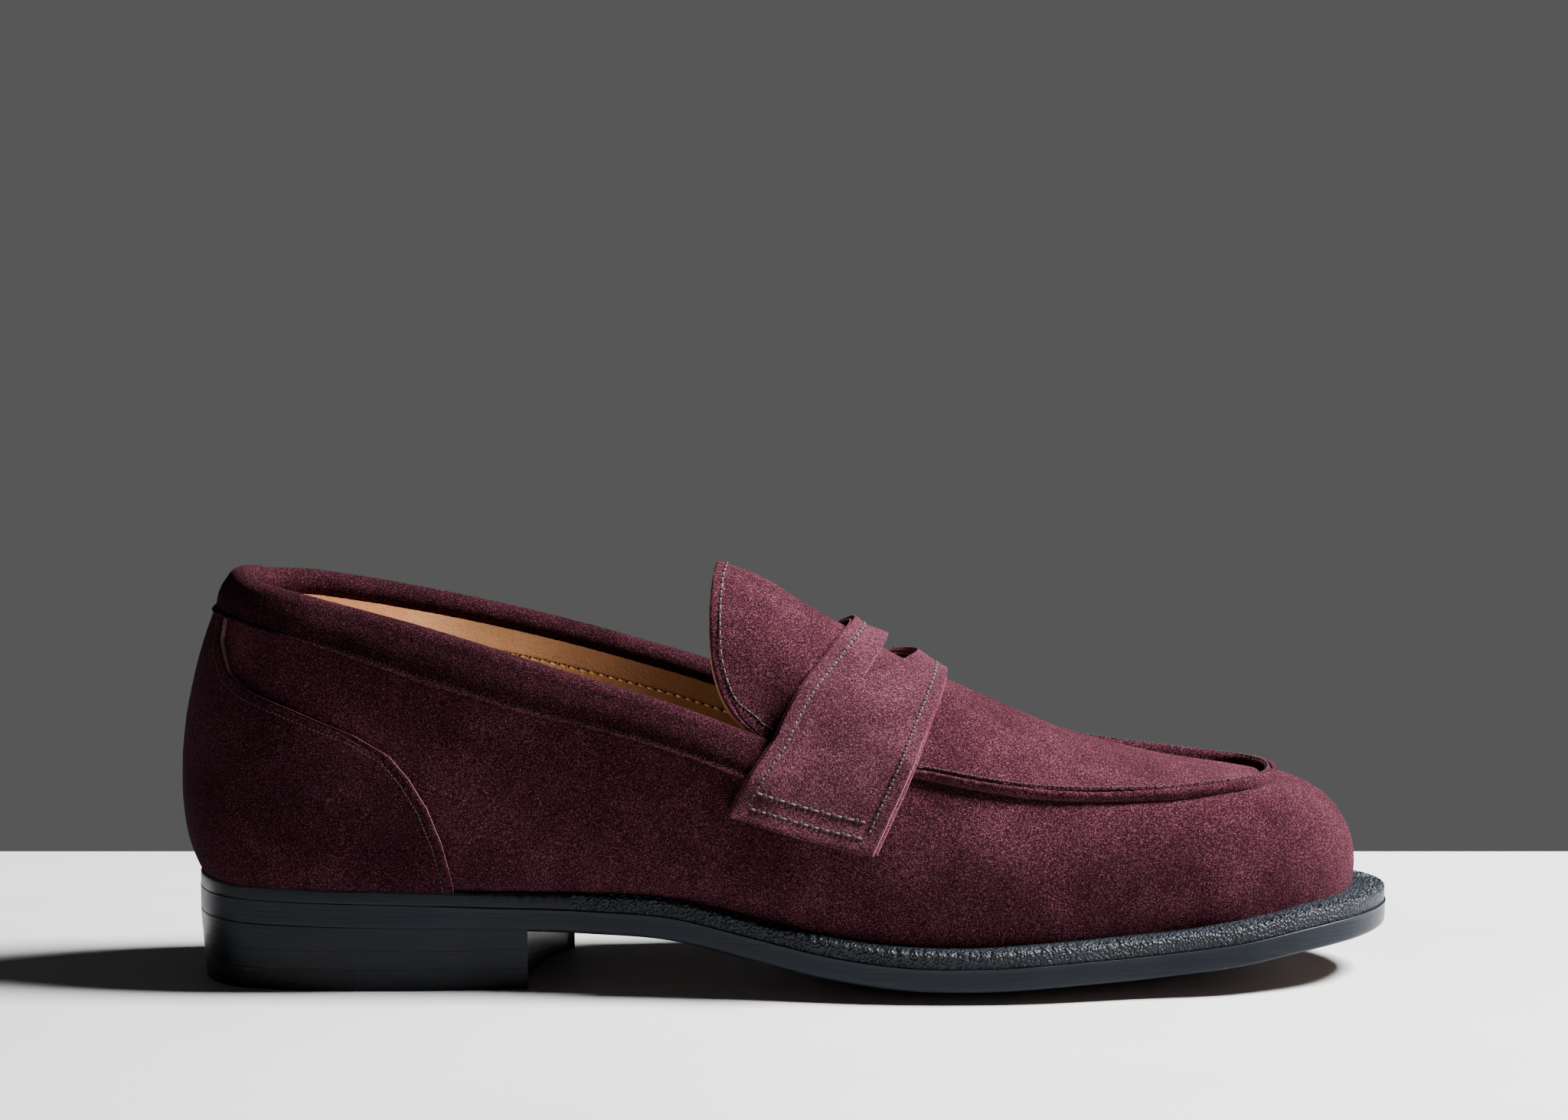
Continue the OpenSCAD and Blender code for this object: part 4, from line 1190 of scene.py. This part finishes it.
def nails():
    """Nails in a horseshoe, whose heads lie in the top piece."""
    parts = []
    for k, p in enumerate(edge(np.linspace(-HEEL_REACH, HEEL_REACH, NAILS), -NAIL_INSET)):
        columns = [np.column_stack([p[:2] + r * circle(20), np.full(20, z)]) for r, z in
                   ((0.0, 0.0), (0.8, 0.0), (1.05, 0.06), (1.05, 0.25), (0.7, 1.2), (0.7, 12.0), (0.0, 12.0))]
        parts.append(disc(f"nail_{k}", np.stack(columns[::-1], axis=1)[::-1], [BRASS_MAT], merge=0.01))
    return joined("heel_nail_set", parts)


give(nails(), "heel_nails")


# ---- Threads
# Each has its material, the pitch, radius and gap of its stitches, and its needle holes' radius.
THREADS = {
    "counter_thread": (SEAM_THREAD_MAT, 2.4, 0.15, 0.7, 0.26),
    "collar_thread": (SEAM_THREAD_MAT, 2.4, 0.18, 0.7, 0.3),
    "strap_side_thread": (THREAD_MAT, 2.35, 0.24, 1.1, 0.54),
    "strap_end_thread": (THREAD_MAT, 2.8, 0.27, 1.2, 0.64),
    "tongue_thread": (THREAD_MAT, 2.4, 0.2, 0.8, 0.4),
    "apron_thread": (SEAM_THREAD_MAT, 2.3, 0.17, 0.7, 0.3),
    "welt_thread": (WAXED_MAT, 2.9, 0.36, 0.5, 0),
    "lining_thread": (SAND_MAT, 2.6, 0.3, 0.9, 0.3),
}
runs = []
for sign in (1, -1):
    s = np.linspace(0.87, 0.02, 160)
    a, b = inset(wall_at, sign * np.interp(s, SEAM_S, SEAM_T), s, 2.5 * -sign)
    runs.append(line_on(wall_at, a, b, COUNTER_TOP - 0.12))
give(stitches("counter_thread", runs), "counter_stitching")

t = np.linspace(-5.68, 5.68, 400)
run = line_on(wall_at, t, mix(collar_foot(t), roll_centre(t), THREAD_H / COLLAR_RISE), 1.56)
give(stitches("collar_thread", [run]), "collar_stitching")

runs = []
q = np.linspace(-STRAP_Q + 0.08, STRAP_Q - 0.08, 300)
for v, inward in ((0, 1), (1, -1)):
    a, b = inset(strap_surface, q, v, 3.1 * -inward)
    runs.append(line_on(strap_surface, a, b, STRAP_LOW + STRAP_T - 0.2))
side_runs = stitches("strap_side_thread", runs)
runs = []
for sign in (-1, 1):
    for far in (3.6, 7.6):
        a, b = inset(strap_surface, sign * STRAP_Q, np.linspace(0.1, 0.92, 60), far * -sign)
        runs.append(line_on(strap_surface, a, b, STRAP_LOW + STRAP_T - 0.1))
end_runs = stitches("strap_end_thread", runs)
give(joined("strap_thread", [side_runs, end_runs]), "strap_stitching")

a, b = inset(tongue_surface, np.linspace(0.05, 0.95, 240), 1.0, -2.4)
bend(stitches("tongue_thread", [line_on(tongue_surface, a, b, 0.0)]), "tongue_stitching", slot="thread")

t = np.linspace(RIM_T + 0.04, TURNS - RIM_T - 0.04, 700)
run = rim_at(t, 0.85, 2.34), rim_normal(t)
give(stitches("apron_thread", [run]), "apron_stitching")

t = even_steps(4.5, 19.5, 1.0)
p = feather(t, around(t)[:, 2] * 0.42)
p[:, 2] = welt_top(p[:, 0]) - 0.12
run = p, vec(0, 0, np.ones(len(t)))
give(stitches("welt_thread", [run]), "welt_stitching")

t = np.linspace(-5.5, 5.5, 400)
s = 1 - LINING_SEAM_H / 3 / around(t)[:, 10]
run = wall_at(t, s, LINING_D - LINING), -wall_frame(t, s)[0]
give(stitches("lining_thread", [run]), "lining_stitching")


# ---- Hidden CAD parts that stay as they are
for nodes, *look in (
        (("toe_puff", "heel_stiffener"), "stiffener_board", (0.42, 0.34, 0.22), (0.62, 0.53, 0.38), 0.8, 0.0, 500,
         0.0002),
        (("insole",), "insole_bend", (0.36, 0.22, 0.11), (0.56, 0.38, 0.21), 0.7, 0.0, 260, 0.0002),
        (("insole_rib",), "rib_canvas", (0.50, 0.45, 0.34), (0.74, 0.69, 0.56), 0.9, 0.0, 900, 0.0003),
        (("cork_filler",), "cork", (0.16, 0.08, 0.03), (0.46, 0.27, 0.13), 0.9, 0.0, 420, 0.0006),
        (("shank",), "shank_steel", (0.30, 0.31, 0.33), (0.55, 0.56, 0.58), 0.35, 1.0, 1, 0.00005, (40, 900, 900))):
    material = plain_material(*look)
    for node in nodes:
        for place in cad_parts[node].material_slots:
            place.material = material


# ---- Floor, camera and light
SIDE_W, NEAR, FAR = 1.4, -1.6, 0.184
floor_mesh = bpy.data.meshes.new("floor")
floor_mesh.from_pydata([(-SIDE_W, NEAR, 0), (SIDE_W, NEAR, 0), (SIDE_W, FAR, 0), (-SIDE_W, FAR, 0),
                        (-SIDE_W, FAR, -0.03), (SIDE_W, FAR, -0.03)], [], [(0, 1, 2, 3), (3, 2, 5, 4)])
floor = placed("floor", floor_mesh)
floor.location.z = CAD_BOX[0][2]
floor_mesh.materials.append(plain_material("pale_floor", (0.40, 0.40, 0.402), (0.44, 0.44, 0.44), 0.5, 0.0, 3,
                                           0.00005))

# The backdrop is seen at full strength and lights the shoe less.
WORLD_LIGHT = 0.4
world = bpy.data.worlds.new("room")
world.use_nodes = True
tree = world.node_tree
back = tree.nodes["Background"]
back.inputs["Color"].default_value = (0.1, 0.1, 0.102, 1)
seen = tree.nodes.new("ShaderNodeLightPath")
share = tree.nodes.new("ShaderNodeMapRange")
share.inputs["To Min"].default_value = WORLD_LIGHT
tree.links.new(seen.outputs["Is Camera Ray"], share.inputs["Value"])
tree.links.new(share.outputs["Result"], back.inputs["Strength"])
bpy.context.scene.world = world

key = bpy.data.lights.new("key", "AREA")
key.shape = "RECTANGLE"
key.size = key.size_y = 0.42
key.energy = 215
key_place, key_aim = (0.97, 0.04, 1.14), (0.02, 0, 0.03)
lamp = placed("key", key)
lamp.location = key_place
lamp.rotation_euler = (Vector(key_aim) - Vector(key_place)).to_track_quat("-Z", "Y").to_euler()

camera = bpy.data.cameras.new("camera")
camera.lens = 99.86
camera.sensor_width = 36
eye = placed("camera", camera)
eye.location = (-0.0012, -1.0983, 0.2086)
eye.rotation_euler = (math.radians(84.59), 0, 0)
bpy.context.scene.camera = eye
